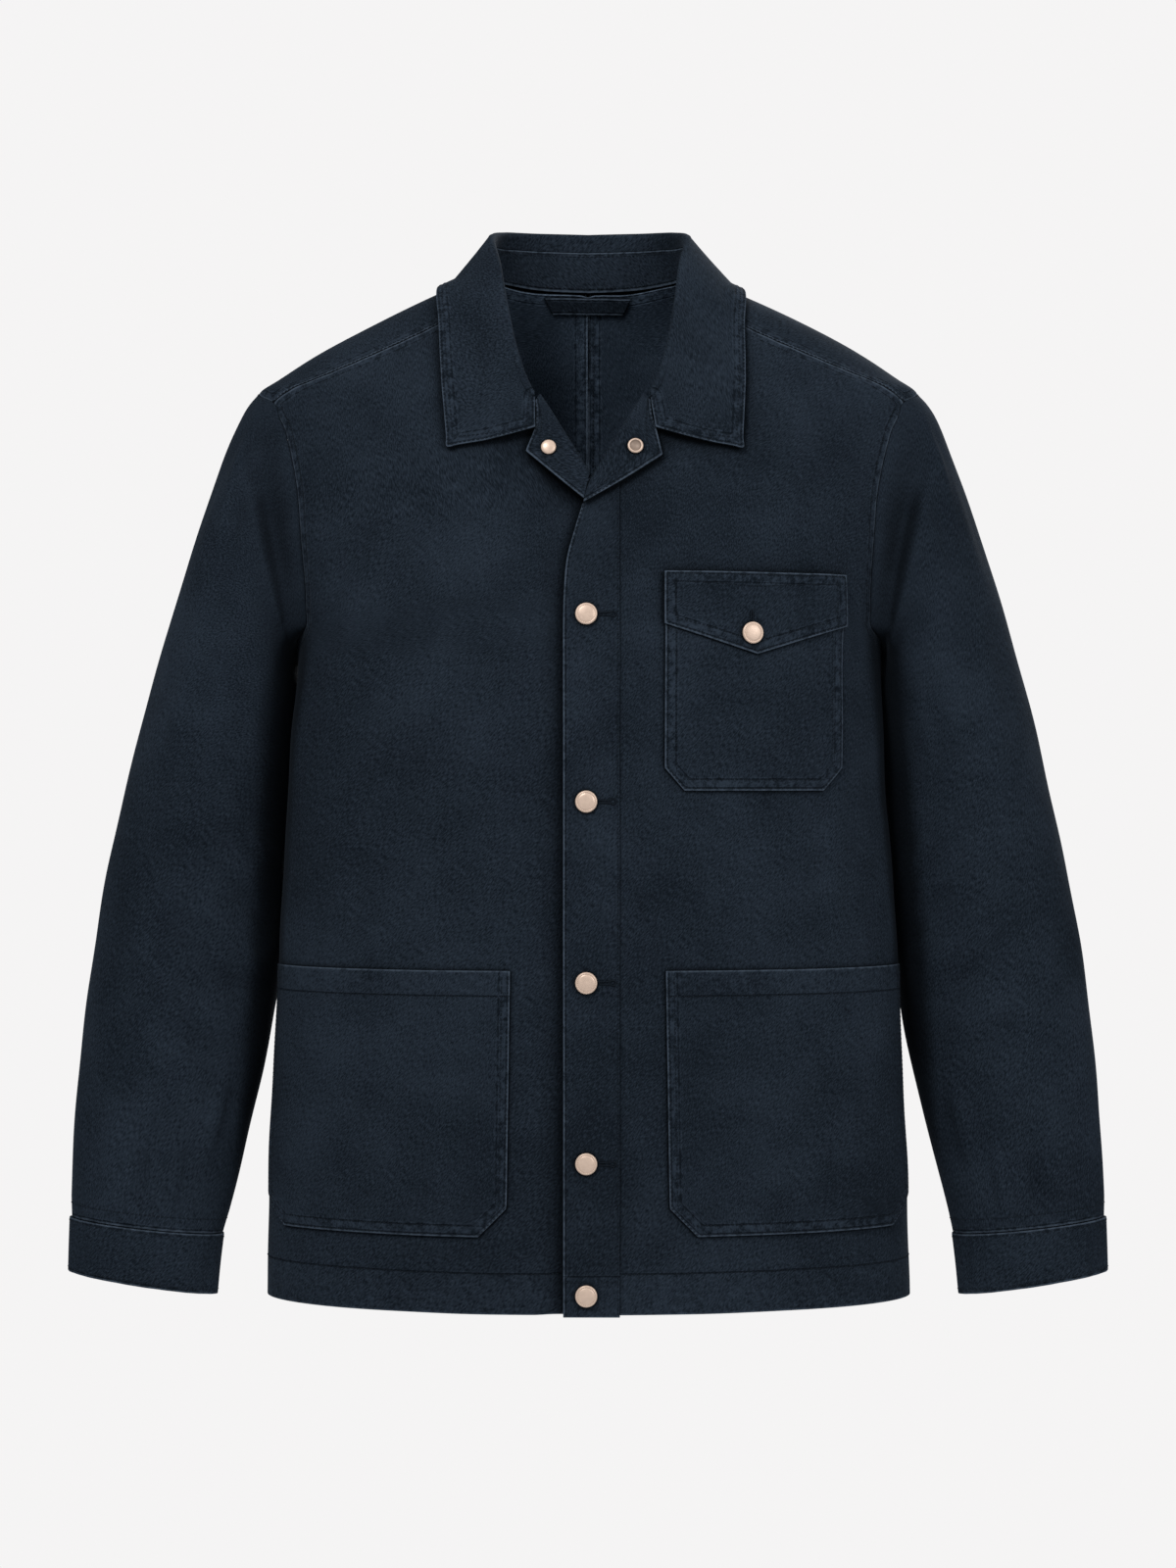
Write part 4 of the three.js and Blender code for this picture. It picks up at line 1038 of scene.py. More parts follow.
def torso_row(places, inset, out):
    """A row sewn beside a line on the torso: the inset is to the left of the line's way"""
    angle, z = places
    line = bare_torso(angle, z)
    along = unit(np.gradient(line, axis=0))
    normal = torso_normal(angle, z)
    aside = np.cross(normal, along)
    around, upward = torso_ways(angle, z)
    angle = angle + inset * np.sum(aside * around, -1) / np.sum(around * around, -1)
    z = z + inset * np.sum(aside * upward, -1) / np.sum(upward * upward, -1)
    return torso(angle, z, out + STITCH_LIFT), torso_normal(angle, z)


# Materials

class Nodes:
    """Short calls for making and joining a material's nodes"""

    def __init__(self, name):
        self.material = bpy.data.materials.new(name)
        self.material.use_nodes = True
        self.tree = self.material.node_tree
        self.tree.nodes.clear()

    def add(self, kind, inputs=None, **settings):
        node = self.tree.nodes.new(kind)
        for key, value in settings.items():
            setattr(node, key, value)
        for key, value in (inputs or {}).items():
            if isinstance(value, bpy.types.NodeSocket):
                self.tree.links.new(value, node.inputs[key])
            else:
                node.inputs[key].default_value = value
        return node

    def math(self, operation, first, second=0.0, third=0.0, clamp=False):
        node = self.add(
            "ShaderNodeMath", {0: first, 1: second, 2: third}, operation=operation, use_clamp=clamp)
        return node.outputs[0]

    def ramp(self, value, low, high, to_low=0.0, to_high=1.0):
        node = self.add("ShaderNodeMapRange", {
            "Value": value, "From Min": low, "From Max": high, "To Min": to_low, "To Max": to_high},
            interpolation_type="SMOOTHSTEP")
        return node.outputs["Result"]

    def noise(self, vector, scale, detail=2.0, rough=0.5):
        node = self.add("ShaderNodeTexNoise", {
            "Vector": vector, "Scale": scale, "Detail": detail, "Roughness": rough})
        return node.outputs["Fac"]

    def mapped(self, vector, scale=(1, 1, 1), rotation=(0, 0, 0)):
        node = self.add("ShaderNodeMapping", {
            "Vector": vector, "Scale": scale, "Rotation": rotation})
        return node.outputs["Vector"]

    def blend(self, share, first, second):
        node = self.add("ShaderNodeMix", {"Factor": share}, data_type="RGBA")
        for socket, value in zip(
                [item for item in node.inputs if item.type == "RGBA"], (first, second)):
            if isinstance(value, bpy.types.NodeSocket):
                self.tree.links.new(value, socket)
            else:
                socket.default_value = value
        return [item for item in node.outputs if item.type == "RGBA"][0]


def opaque(colour):
    return (*colour[:3], 1.0)


# How much each pattern adds to the twill's tone and to its relief, in the order they are added
# The dents' negative tone is painted shade in the stitched grooves
TONE_START = 0.4
TONE = {"grain": 2.6, "fleck": 1.1, "wash": 0.9, "cloud": 0.8, "crumple": 2.9, "dents": -0.42}
RELIEF = {"grain": 0.13, "fleck": 0.1, "crumple": 1.5, "dents": -0.55, "wash": 0.3}
TWILL_SLANT = 38
GRAIN_SCALE = (1300, 330, 1)
FLECK_SCALE = (760, 760, 1)
SHADOW_REACH = 26
PUCKER_MIDDLE = 0.43


def twill(name, settings, rows=(EDGE_ROW, MARGIN_ROW), hem_row=None, shade=1.0, sewn=False):
    """Garment-washed twill: slanting grain, cloudy wash, pale edges, puckered seam margins and painted
    shade near other pieces.

    Rows are the stitched dents' distances from an edge. Sewn cloth has a wider worn edge and a line of
    painted shade along its seams.
    """
    make = Nodes(name)
    cut = make.add("ShaderNodeUVMap", uv_map="Cut").outputs["UV"]
    place = make.add("ShaderNodeTexCoord").outputs["Object"]
    edge = make.add("ShaderNodeAttribute", attribute_name="edge").outputs["Fac"]
    hem = make.add("ShaderNodeAttribute", attribute_name="hem").outputs["Fac"]
    slanted = make.mapped(cut, rotation=(0, 0, math.radians(TWILL_SLANT)))
    grain = make.noise(make.mapped(slanted, GRAIN_SCALE), 1.0, 2.0, 0.55)
    fleck = make.noise(make.mapped(cut, FLECK_SCALE), 1.0, 2.0, 0.7)
    wash = make.noise(place, 22.0, 4.0, 0.62)
    cloud = make.noise(place, 6.0, 2.0, 0.5)
    pucker = make.noise(place, 210.0, 2.0, 0.6)
    shadow = make.add("ShaderNodeAmbientOcclusion", {"Distance": SHADOW_REACH * MM}, samples=6)
    margin = make.ramp(edge, (max(rows) + 2.4) * MM, (max(rows) + 0.2) * MM)
    worn_reach = 2.5 if sewn else 1.9
    rim = make.ramp(edge, worn_reach * MM, (worn_reach - 1.3) * MM)
    dents = None
    places = [(edge, row) for row in rows]
    if hem_row:
        places.append((hem, hem_row))
    for gap, row in places:
        apart = make.math("ABSOLUTE", make.math("SUBTRACT", gap, row * MM))
        dent = make.ramp(apart, 0.85 * MM, 0.1 * MM)
        dents = dent if dents is None else make.math("MAXIMUM", dents, dent)
    if hem_row:
        turned = make.ramp(hem, (hem_row + 1.5) * MM, (hem_row - 1) * MM)
        margin = make.math("MAXIMUM", margin, make.math("MULTIPLY", turned, 0.3))
        rim = make.math("MAXIMUM", rim, make.ramp(hem, 1.7 * MM, 0.4 * MM))
    crumple = make.math("MULTIPLY", margin, make.math("SUBTRACT", pucker, PUCKER_MIDDLE))
    patterns = {
        "grain": grain, "fleck": fleck, "wash": wash, "cloud": cloud, "crumple": crumple,
        "dents": dents}
    tone = TONE_START
    for key, strength in TONE.items():
        pattern = patterns[key]
        if key not in ("crumple", "dents"):
            pattern = make.math("SUBTRACT", pattern, 0.5)
        tone = make.math("MULTIPLY_ADD", pattern, strength, tone, clamp=key == "dents")
    ground = make.blend(tone, opaque(settings.dark * shade), opaque(settings.light * shade))
    worn = make.math("MULTIPLY", rim, make.ramp(pucker, 0.3, 0.6, 0.45, 1.0))
    colour = make.blend(make.math("MULTIPLY", worn, 0.85), ground, opaque(settings.worn * shade))
    # Painted shade: a dark line right at the sewn edge, where the gap between joined pieces would lie
    # in shadow
    if sewn:
        seam = make.ramp(edge, 1.0 * MM, 0.6 * MM, 0.0, 0.85)
        colour = make.blend(seam, colour, opaque(settings.dark * 0.2))
    # Painted shade: the colour sinks towards the twill's darkest tone where nearby pieces and folds
    # hide the sky, standing in for their shadows
    open_sky = make.ramp(shadow.outputs["AO"], 0.62, 0.985, 0.2, 1.0)
    colour = make.blend(open_sky, opaque(settings.dark * 0.12), colour)
    height = 0.0
    for key, strength in RELIEF.items():
        height = make.math("MULTIPLY_ADD", patterns[key], strength, height)
    relief = make.add("ShaderNodeBump", {
        "Strength": 1.0, "Distance": 1.0 * MM, "Height": height}).outputs["Normal"]
    shader = make.add("ShaderNodeBsdfPrincipled", {
        "Base Color": colour, "Roughness": 0.95, "Normal": relief,
        "Specular IOR Level": 0.06, "Sheen Weight": 0.035, "Sheen Roughness": 0.5,
        "Sheen Tint": (0.62, 0.78, 1.0, 1.0)})
    make.add("ShaderNodeOutputMaterial", {"Surface": shader.outputs["BSDF"]})
    return make.material


def thread(name, settings):
    make = Nodes(name)
    place = make.add("ShaderNodeTexCoord").outputs["Object"]
    twist = make.noise(place, 900.0, 1.0)
    colour = make.blend(twist, opaque(settings.dark * 0.6), opaque(settings.light * 0.9))
    relief = make.add("ShaderNodeBump", {"Strength": 0.5, "Distance": 0.2 * MM, "Height": twist})
    shader = make.add("ShaderNodeBsdfPrincipled", {
        "Base Color": colour, "Roughness": 0.8, "Normal": relief.outputs["Normal"],
        "Specular IOR Level": 0.12})
    make.add("ShaderNodeOutputMaterial", {"Surface": shader.outputs["BSDF"]})
    return make.material


def copper(name, settings, roughness=0.34, shade=1.0):
    make = Nodes(name)
    place = make.add("ShaderNodeTexCoord").outputs["Object"]
    cloud = make.noise(place, 420.0, 2.0)
    scratch = make.noise(make.mapped(place, (2400, 2400, 900)), 1.0, 2.0)
    colour = make.blend(
        cloud, opaque(settings.metal * 0.92 * shade), opaque(settings.metal * 1.06 * shade))
    gloss = make.ramp(cloud, 0.3, 0.7, roughness - 0.05, roughness + 0.08)
    relief = make.add("ShaderNodeBump", {"Strength": 0.25, "Distance": 0.05 * MM, "Height": scratch})
    shader = make.add("ShaderNodeBsdfPrincipled", {
        "Base Color": colour, "Metallic": 0.18, "Roughness": gloss,
        "Normal": relief.outputs["Normal"]})
    make.add("ShaderNodeOutputMaterial", {"Surface": shader.outputs["BSDF"]})
    return make.material


def cloth_material(key, **options):
    """Each finish is made once and shared"""
    found = bpy.data.materials.get(key)
    return found or twill(key, bpy.context.scene.jacket_cloth, **options)


def seam_cloth():
    return cloth_material("navy_twill_seamed")


def panel_cloth():
    return cloth_material("navy_twill_panel", rows=(PANEL_DENTS,), hem_row=HEM_TURN, sewn=True)


def wrong_side_lit_inside():
    """The paler wrong side of the twill on the inside, brightened further as painted light in the
    shaded hollow of the back
    """
    return cloth_material("navy_twill_wrong_side_lit_inside", rows=(EDGE_ROW, LINING_DENTS), shade=2.6)


def thread_material():
    return bpy.data.materials.get("navy_thread") or thread(
        "navy_thread", bpy.context.scene.jacket_cloth)


def copper_material():
    return bpy.data.materials.get("copper_plate") or copper(
        "copper_plate", bpy.context.scene.jacket_metal)


# Darker copper as painted shade: the dimples of a button's punched dots and the open middle of the
# ring
def hollow_shade_material():
    return bpy.data.materials.get("copper_punched_shade") or copper(
        "copper_punched_shade", bpy.context.scene.jacket_metal, 0.5, 0.42)


class JacketCloth(bpy.types.PropertyGroup):
    """Colours of the washed cloth"""

    dark: bpy.props.FloatVectorProperty(
        name="Dark", description="Deepest tone of the twill", size=3, subtype="COLOR",
        min=0, max=1, default=(0.0075, 0.0115, 0.0172))
    light: bpy.props.FloatVectorProperty(
        name="Light", description="Palest tone of the washed grain", size=3, subtype="COLOR",
        min=0, max=1, default=(0.033, 0.0465, 0.0665))
    worn: bpy.props.FloatVectorProperty(
        name="Worn edge", description="Rubbed tone of folded edges", size=3, subtype="COLOR",
        min=0, max=1, default=(0.088, 0.117, 0.158))


class JacketMetal(bpy.types.PropertyGroup):
    """Colour and size of the buttons"""

    metal: bpy.props.FloatVectorProperty(
        name="Copper", description="Colour of the copper plate", size=3, subtype="COLOR",
        min=0, max=1, default=(1.0, 0.745, 0.585))
    radius: bpy.props.FloatProperty(
        name="Button radius", description="Outer radius of a front button", unit="LENGTH",
        min=0.004, max=0.015, default=BUTTON_RADIUS * MM)


class JacketStudio(bpy.types.PropertyGroup):
    """Camera and lights"""

    distance: bpy.props.FloatProperty(
        name="Camera distance", description="From the camera to the side seams' plane",
        unit="LENGTH", min=1, max=6, default=2.7)
    height: bpy.props.FloatProperty(
        name="Camera height", description="Height of the camera over the origin",
        unit="LENGTH", min=-1, max=1, default=-0.348)
    frame_height: bpy.props.FloatProperty(
        name="Frame height", description="Height of the picture at the side seams' plane",
        unit="LENGTH", min=0.5, max=3, default=1.12)


class ClothOperator(bpy.types.Operator):
    bl_options = {"REGISTER", "UNDO"}


def panel_surface(edges, out=0.0, drop=None):
    def surface(across, up):
        angle, z = panel_place(edges, across, up)
        lift = out - (drop(angle, z) if drop else 0)
        return torso(angle, z, lift)

    return surface


def edge_line(edge, start=0.0, end=1.0, count=160):
    return edge(np.linspace(start, end, count))


class JACKET_OT_fronts(ClothOperator):
    """Cut and lay the two fronts and the front strip"""

    bl_idname = "jacket.fronts"
    bl_label = "Fronts"

    def execute(self, context):
        cloth = panel_cloth()
        for name, edges, drop in (
                ("front_left", front_left_edges(), None),
                ("front_right", front_right_edges(), underlap_drop)):
            surface = panel_surface(edges, 0.0, drop)
            armhole = torso(*edge_line(edges["outer"], ARMPIT_SHARE), 0)
            shoulder = border(surface, "top")
            piece = sew(
                name + "_cloth", surface, (76, 178), CLOTH_WALL, from_torso_axis, name, cloth,
                seams=(armhole, shoulder), hem=("bottom",), cut=(270, 700))
        surface = panel_surface(placket_edges(), PLACKET_RAISE)
        strip = sew(
            "placket_cloth", surface, (20, 300), PLACKET_WALL, from_torso_axis, "placket",
            cloth_material("navy_twill_strip", rows=(EDGE_ROW,), hem_row=HEM_TURN),
            seams=("left",), hem=("bottom",), cut=(39, 600))
        return {"FINISHED"}


class JACKET_OT_back(ClothOperator):
    """Cut and lay the two halves of the back"""

    bl_idname = "jacket.back"
    bl_label = "Back"

    def execute(self, context):
        for name, side in (("back_left", 1), ("back_right", -1)):
            edges = back_edges(side)
            surface = panel_surface(edges)
            shoulder = border(surface, "top")
            armhole = torso(*edge_line(edges["outer"], BACK_ARMPIT_SHARE), 0)
            piece = sew(
                name + "_cloth", surface, (78, 184), CLOTH_WALL, from_torso_axis, name,
                panel_cloth(), seams=("left", shoulder, armhole), hem=("bottom",),
                cut=(280, 720), lining=wrong_side_lit_inside())
        return {"FINISHED"}


# The middle of a sleeve, from which its outside faces away
SLEEVE_MIDDLE = table("down x", [(70, 219), (256, 252), (700, 318)])
SLEEVE_MIDDLE_Y = 15


class JACKET_OT_sleeves(ClothOperator):
    """Set in the sleeves and their cuffs"""

    bl_idname = "jacket.sleeves"
    bl_label = "Sleeves"

    def execute(self, context):
        for name, side in (("left", 1), ("right", -1)):
            def away(point, side=side):
                x = point[0] - side * np.interp(
                    -point[2], column(SLEEVE_MIDDLE, "down"), column(SLEEVE_MIDDLE, "x"))
                return (x, point[1] - SLEEVE_MIDDLE_Y, 0)

            sleeve = sew(
                f"sleeve_{name}_cloth", sleeve_surface(side), (116, 168), CLOTH_WALL, away,
                f"sleeve_{name}", cloth_material("navy_twill_sleeve", rows=(EDGE_ROW,)),
                seams=("top",), cut=(420, 590), closed=True)
            cuff = sew(
                f"cuff_{name}_cloth", cuff_surface(side), (110, 20), CUFF_WALL, away,
                f"cuff_{name}", cloth_material("navy_twill_cuff", rows=(EDGE_ROW,)),
                seams=("top", "bottom"), cut=(275, 40), closed=True)
        return {"FINISHED"}


# The leaf's ends are worn from this point of their line on, past the roll
LEAF_END_START = 60


class JACKET_OT_collar(ClothOperator):
    """Sew the collar, the turned-back front tops and the hanger loop"""

    bl_idname = "jacket.collar"
    bl_label = "Collar"

    def execute(self, context):
        cloth = seam_cloth()
        stand = sew(
            "collar_stand_cloth", shifted(stand_surface, COLLAR_WALL / 2), (200, 14), COLLAR_WALL,
            from_torso_axis, "collar_stand", cloth_material("navy_twill_stand", rows=(EDGE_ROW,)),
            seams=("top", "bottom"), cut=(430, 30))
        free_edge, *ends = (border(leaf_surface, side) for side in ("top", "left", "right"))
        outline = (free_edge, *(end[LEAF_END_START:] for end in ends))
        leaf = sew(
            "collar_leaf_cloth", shifted(leaf_surface, COLLAR_WALL / 2), (260, 50), COLLAR_WALL,
            from_torso_axis, "collar_leaf", cloth, seams=outline, cut=(430, 85))
        for name, rows, area in (
                ("left", LAPEL_LEFT_ROWS, 0.0022), ("right", LAPEL_RIGHT_ROWS, 0.0019)):
            surface = lapel_surface(rows)
            piece = sew(
                f"lapel_{name}_cloth", shifted(surface, CLOTH_WALL / 2), (40, 26), CLOTH_WALL,
                from_torso_axis, f"lapel_{name}",
                cloth_material("navy_twill_lapel", rows=(EDGE_ROW,)), seams=("top",),
                cut=(80, 30))
        piece = sew(
            "hanger_loop_cloth", hanger_surface, (40, 8), LOOP["wall"], from_torso_axis,
            "hanger_loop", cloth_material("navy_twill_loop", rows=(EDGE_ROW,)),
            seams=("top", "bottom"), cut=(60, 12))
        return {"FINISHED"}


def shifted(surface, out):
    """The outer side of a wall whose middle is the surface"""
    def outer(across, up):
        way, outness = square_to(surface, across, up, WALL_STEP)
        return surface(across, up) + way * out * np.sign(np.sum(outness))

    return outer


def hanger_surface(across, down):
    half = mix(LOOP["top_half"], LOOP["low_half"], down)
    z = mix(LOOP["top"], LOOP["low"], down)
    spread = 180 - angle_at(half, z, True)
    return torso(180 - (across - 0.5) * 2 * spread, z, -CLOTH_WALL - LOOP["lift"])


# A patch is this much larger laid flat than its cut on the waving cloth
HIP_AREA = 0.0385
FLAP_AREA = 0.0065


class JACKET_OT_pockets(ClothOperator):
    """Lay the patch pockets and the flap on the fronts"""

    bl_idname = "jacket.pockets"
    bl_label = "Pockets"

    def execute(self, context):
        banded = cloth_material("navy_twill_pocket", hem_row=POCKET_BAND)
        patches = (
            ("chest_pocket", chest_pocket_place, 1, POCKET_LIFT, (64, 74), (126, 147), None),
            ("chest_flap", flap_place, 1, POCKET_LIFT + CLOTH_WALL + SEAM_GAP, (66, 30),
             (128, 50), FLAP_AREA),
            ("hip_pocket_left", hip_pocket_place, 1, POCKET_LIFT, (92, 84), (210, 183), HIP_AREA),
            ("hip_pocket_right", hip_pocket_place, -1, POCKET_LIFT, (92, 84), (210, 183), HIP_AREA),
        )
        for name, place, side, lift, grid, cut, area in patches:
            def surface(across, down, place=place, side=side, lift=lift):
                angle, z = place(across, down)
                return torso(side * angle, z, lift + CLOTH_WALL)

            flap = name == "chest_flap"
            piece = sew(
                name + "_cloth", surface, grid, CLOTH_WALL, from_torso_axis, name,
                seam_cloth() if flap else banded,
                seams=("left", "right", "top", "bottom") if flap else ("left", "right", "top"),
                hem=() if flap else ("bottom",), cut=cut)
        return {"FINISHED"}


class JACKET_OT_buttons(ClothOperator):
    """Turn the metal buttons, the stud's back and the ring"""

    bl_idname = "jacket.buttons"
    bl_label = "Buttons"

    def execute(self, context):
        metal = copper_material()
        radius = context.scene.jacket_metal.radius / MM
        for index, z in enumerate(FRONT_BUTTONS):
            cap(f"front_button_{index + 1}", FRONT_BUTTON_X, z, PLACKET_RAISE + SEAM_GAP, radius,
                metal)
        cap("flap_button", *FLAP_BUTTON, POCKET_LIFT + 2 * (CLOTH_WALL + SEAM_GAP), radius, metal)
        seat = 2 * LAPEL_ROLL + SEAM_GAP + STUD_LIFT
        spun("lapel_stud_right", STUD_PROFILE, *LAPEL_STUD, seat, metal)
        spun("lapel_ring_left", RING_PROFILE, *LAPEL_RING, seat, metal, RING_MIDDLE)
        return {"FINISHED"}


# Turned profiles as radius and height, and the ring of punched dots in a button's rim
STUD_LIFT = 0.5
STUD_PROFILE = [
    (0, 0), (4.6, 0), (5.1, 0.3), (5.2, 0.6), (4.9, 1.2), (4.0, 1.6), (2.4, 1.95), (0, 2.1)]
RING_PROFILE = [
    (0, 0), (4.8, 0), (5.3, 0.4), (5.4, 0.8), (5.1, 1.4), (4.6, 1.7), (4.1, 1.65), (3.6, 1.2),
    (3.4, 0.75), (0, 0.7)]
RING_MIDDLE = 3.9
PUNCHED_DOTS = 30
DOT = {"inset": 1.47, "height": 2.2, "radius": 0.26}


def seat_of(x, z, out):
    angle = angle_at(x, z, False)
    return Vector(torso(angle, np.asarray(float(z)), out)), Vector(torso_normal(angle, float(z)))


def spun_mesh(profile, steps=48):
    bm = bmesh.new()
    verts = [bm.verts.new((radius, 0, height)) for radius, height in profile]
    for first, second in zip(verts, verts[1:]):
        bm.edges.new((first, second))
    bmesh.ops.spin(
        bm, geom=bm.verts[:] + bm.edges[:], cent=(0, 0, 0), axis=(0, 0, 1),
        angle=math.tau, steps=steps, use_merge=True, use_duplicate=False)
    bmesh.ops.remove_doubles(bm, verts=bm.verts, dist=1e-4)
    bmesh.ops.recalc_face_normals(bm, faces=bm.faces)
    return bm


def seated(bm, x, z, out):
    seat, way = seat_of(x, z, out)
    turn = Vector((0, 0, 1)).rotation_difference(way).to_matrix().to_4x4()
    place = Matrix.Scale(MM, 4) @ Matrix.Translation(seat) @ turn
    bmesh.ops.transform(bm, matrix=place, verts=bm.verts)


def spun(name, profile, x, z, out, metal, middle=0):
    """A turned piece whose middle, up to a radius, is the darker metal, painted shade of the ring's
    open middle
    """
    bm = spun_mesh(profile)
    for face in bm.faces:
        centre = face.calc_center_median()
        if centre.xy.length < middle and centre.z > 0:
            face.material_index = 1
    seated(bm, x, z, out)
    piece = finished(name + "_metal", bm, metal, name)
    if middle:
        piece.data.materials.append(hollow_shade_material())
    return piece


def cap(name, x, z, out, radius, metal):
    """A flat button with a rolled rim and a ring of small punched dots in darker metal, painted shade
    of their dimples
    """
    profile = [
        (0, 0), (radius - 1.0, 0), (radius - 0.3, 0.35), (radius, 0.9), (radius, 1.5),
        (radius - 0.25, 2.0), (radius - 0.7, 2.3), (radius - 1.15, 2.35), (radius - 1.35, 2.2),
        (radius - 1.6, 2.2), (radius - 1.85, 2.4), (radius - 3, 2.62), (2.2, 2.85), (0, 2.95)]
    bm = spun_mesh(profile)
    plain = len(bm.faces)
    for step in range(PUNCHED_DOTS):
        turn = math.tau * step / PUNCHED_DOTS
        spot = Vector((math.cos(turn), math.sin(turn), 0)) * (radius - DOT["inset"])
        spot.z = DOT["height"]
        bmesh.ops.create_icosphere(
            bm, subdivisions=1, radius=DOT["radius"], matrix=Matrix.Translation(spot))
    bm.faces.ensure_lookup_table()
    for face in bm.faces[plain:]:
        face.material_index = 1
    seated(bm, x, z, out)
    piece = finished(name + "_metal", bm, metal, name)
    piece.data.materials.append(hollow_shade_material())
    return piece


class JACKET_OT_stitching(ClothOperator):
    """Sew the topstitching, seams and buttonholes"""

    bl_idname = "jacket.stitching"
    bl_label = "Stitching"

    def execute(self, context):
        yarn = thread_material()
        rows = hem_rows()
        for side, edges in ((1, front_left_edges()), (-1, front_right_edges())):
            armhole = edge_line(edges["outer"], ARMPIT_SHARE)
            rows.append(torso_row(armhole, ARMHOLE_ROW * side, 0))
        for side in (1, -1):
            edges = back_edges(side)
            shoulder = edge_line(edges["top"])
            for inset in SHOULDER_ROWS:
                rows.append(torso_row(shoulder, inset * side, 0))
            armhole = edge_line(edges["outer"], BACK_ARMPIT_SHARE)
            rows.append(torso_row(armhole, ARMHOLE_ROW * side, 0))
        stitch_rows("panel_stitching", rows, yarn)
        rows = []
        for side in (1, -1):
            edges = back_edges(side)
            middle = edge_line(edges["inner"], 0, BACK_NECK_SHARE, 300)
            rows.append(torso_row(middle, -BACK_SEAM_ROW * side, 0))
            line, ways = torso_row(
                middle, -BACK_SEAM_INSIDE_ROW * side, -CLOTH_WALL - 2 * STITCH_LIFT)
            rows.append((line, -ways))
            side_seam = edge_line(edges["outer"], 0, BACK_ARMPIT_SHARE)
            rows.append(torso_row(side_seam, SIDE_SEAM_ROW * side, 0))
        stitch_rows("back_stitching", rows, yarn)
        stitch_rows("pocket_stitching", pocket_rows(), yarn)
        stitch_rows("placket_stitching", placket_rows(), yarn)
        stitch_rows("collar_stitching", collar_rows(), yarn)
        stitch_rows("sleeve_stitching", sleeve_rows(), yarn)
        stitch_rows("buttonholes", buttonhole_rows(), yarn, half_width=0.75, pitch=0.62, length=0.6)
        return {"FINISHED"}


# The leaf's size as its stitch rows are spaced on it
LEAF_FALL = 85
LEAF_WIDTH = 400


def collar_rows():
    """Rows round the leaf, along the stand and round the turned-back fronts"""
    run = np.linspace(0.012, 0.988, 420)
    leaf = shifted(leaf_surface, COLLAR_WALL / 2)
    rows = [
        row_on(leaf, run, np.full(run.shape, 1 - inset / LEAF_FALL)) for inset in LEAF_ROWS]
    fall = np.linspace(0.22, 0.985, 90)
    for inset in LEAF_ROWS:
        for across in (inset / LEAF_WIDTH, 1 - inset / LEAF_WIDTH):
            rows.append(row_on(leaf, np.full(fall.shape, across), fall))
    stand = shifted(stand_surface, COLLAR_WALL / 2)
    inside = shifted(stand_surface, -COLLAR_WALL / 2)
    for level in (0.1, 0.9):
        rows.append(row_on(stand, run, np.full(run.shape, level)))
        line, ways = row_on(inside, run, np.full(run.shape, level), -STITCH_LIFT)
        rows.append((line, -ways))
    for lapel in (LAPEL_LEFT_ROWS, LAPEL_RIGHT_ROWS):
        surface = shifted(lapel_surface(lapel), CLOTH_WALL / 2)
        down = np.linspace(0.03, 0.98, 90)
        for ahead in (0.94, 0.72):
            rows.append(row_on(surface, down, np.full(down.shape, ahead)))
    return rows


def sleeve_rows():
    """Rows at the seam of each cuff and above its edge"""
    rows = []
    turn = np.linspace(0, 1, 160)
    for side in (1, -1):
        cuff = cuff_surface(side)
        for down in (0.06, 0.92):
            rows.append(tube_row(cuff, turn, down))
        rows.append(tube_row(sleeve_surface(side), turn, 0.988))
    return rows


def tube_row(surface, turn, down):
    points = surface(turn, np.full(turn.shape, down))
    way = unit(points - points.mean(axis=0))
    return points + way * STITCH_LIFT, way


# A buttonhole from a button's middle: where it starts, its half width, and its round eye
KEYHOLE = {"start": 8.6, "half": 0.75, "eye": 18.3, "radius": 1.9, "turn": 140}
FLAP_HOLE = {"start": 8.4, "end": 15, "half": 0.7}
BUTTONS_WITH_KEYHOLES = 4
BUTTONHOLE_LIFT = 0.1


def buttonhole_rows():
    """A keyhole beside the front buttons, with its eye at the outer end, and one over the flap's"""
    eye = np.radians(np.linspace(-KEYHOLE["turn"], KEYHOLE["turn"], 30))
    reach = [
        KEYHOLE["start"], *(KEYHOLE["eye"] + KEYHOLE["radius"] * np.cos(eye)), KEYHOLE["start"]]
    height = [-KEYHOLE["half"], *(KEYHOLE["radius"] * np.sin(eye)), KEYHOLE["half"]]
    rows = [
        worked(FRONT_BUTTON_X + np.array(reach), z + np.array(height), PLACKET_RAISE)
        for z in FRONT_BUTTONS[:BUTTONS_WITH_KEYHOLES]]
    run = np.linspace(FLAP_HOLE["start"], FLAP_HOLE["end"], 12)
    lift = POCKET_LIFT + 2 * CLOTH_WALL + SEAM_GAP
    for aside in (-FLAP_HOLE["half"], FLAP_HOLE["half"]):
        x = np.full(run.shape, FLAP_BUTTON[0] + aside)
        rows.append(worked(x, FLAP_BUTTON[1] + run, lift))
    return rows


def worked(x, z, lift):
    angle = angle_at(x, z, False)
    return torso(angle, z, lift + BUTTONHOLE_LIFT), torso_normal(angle, z)


# The hem's row starts beside the front strip and ends under it, in degrees round the body
HEM_ROW_START_GAP = 2.0
HEM_ROW_END = 351
UNDERLAP_MOST_ANGLE = 60


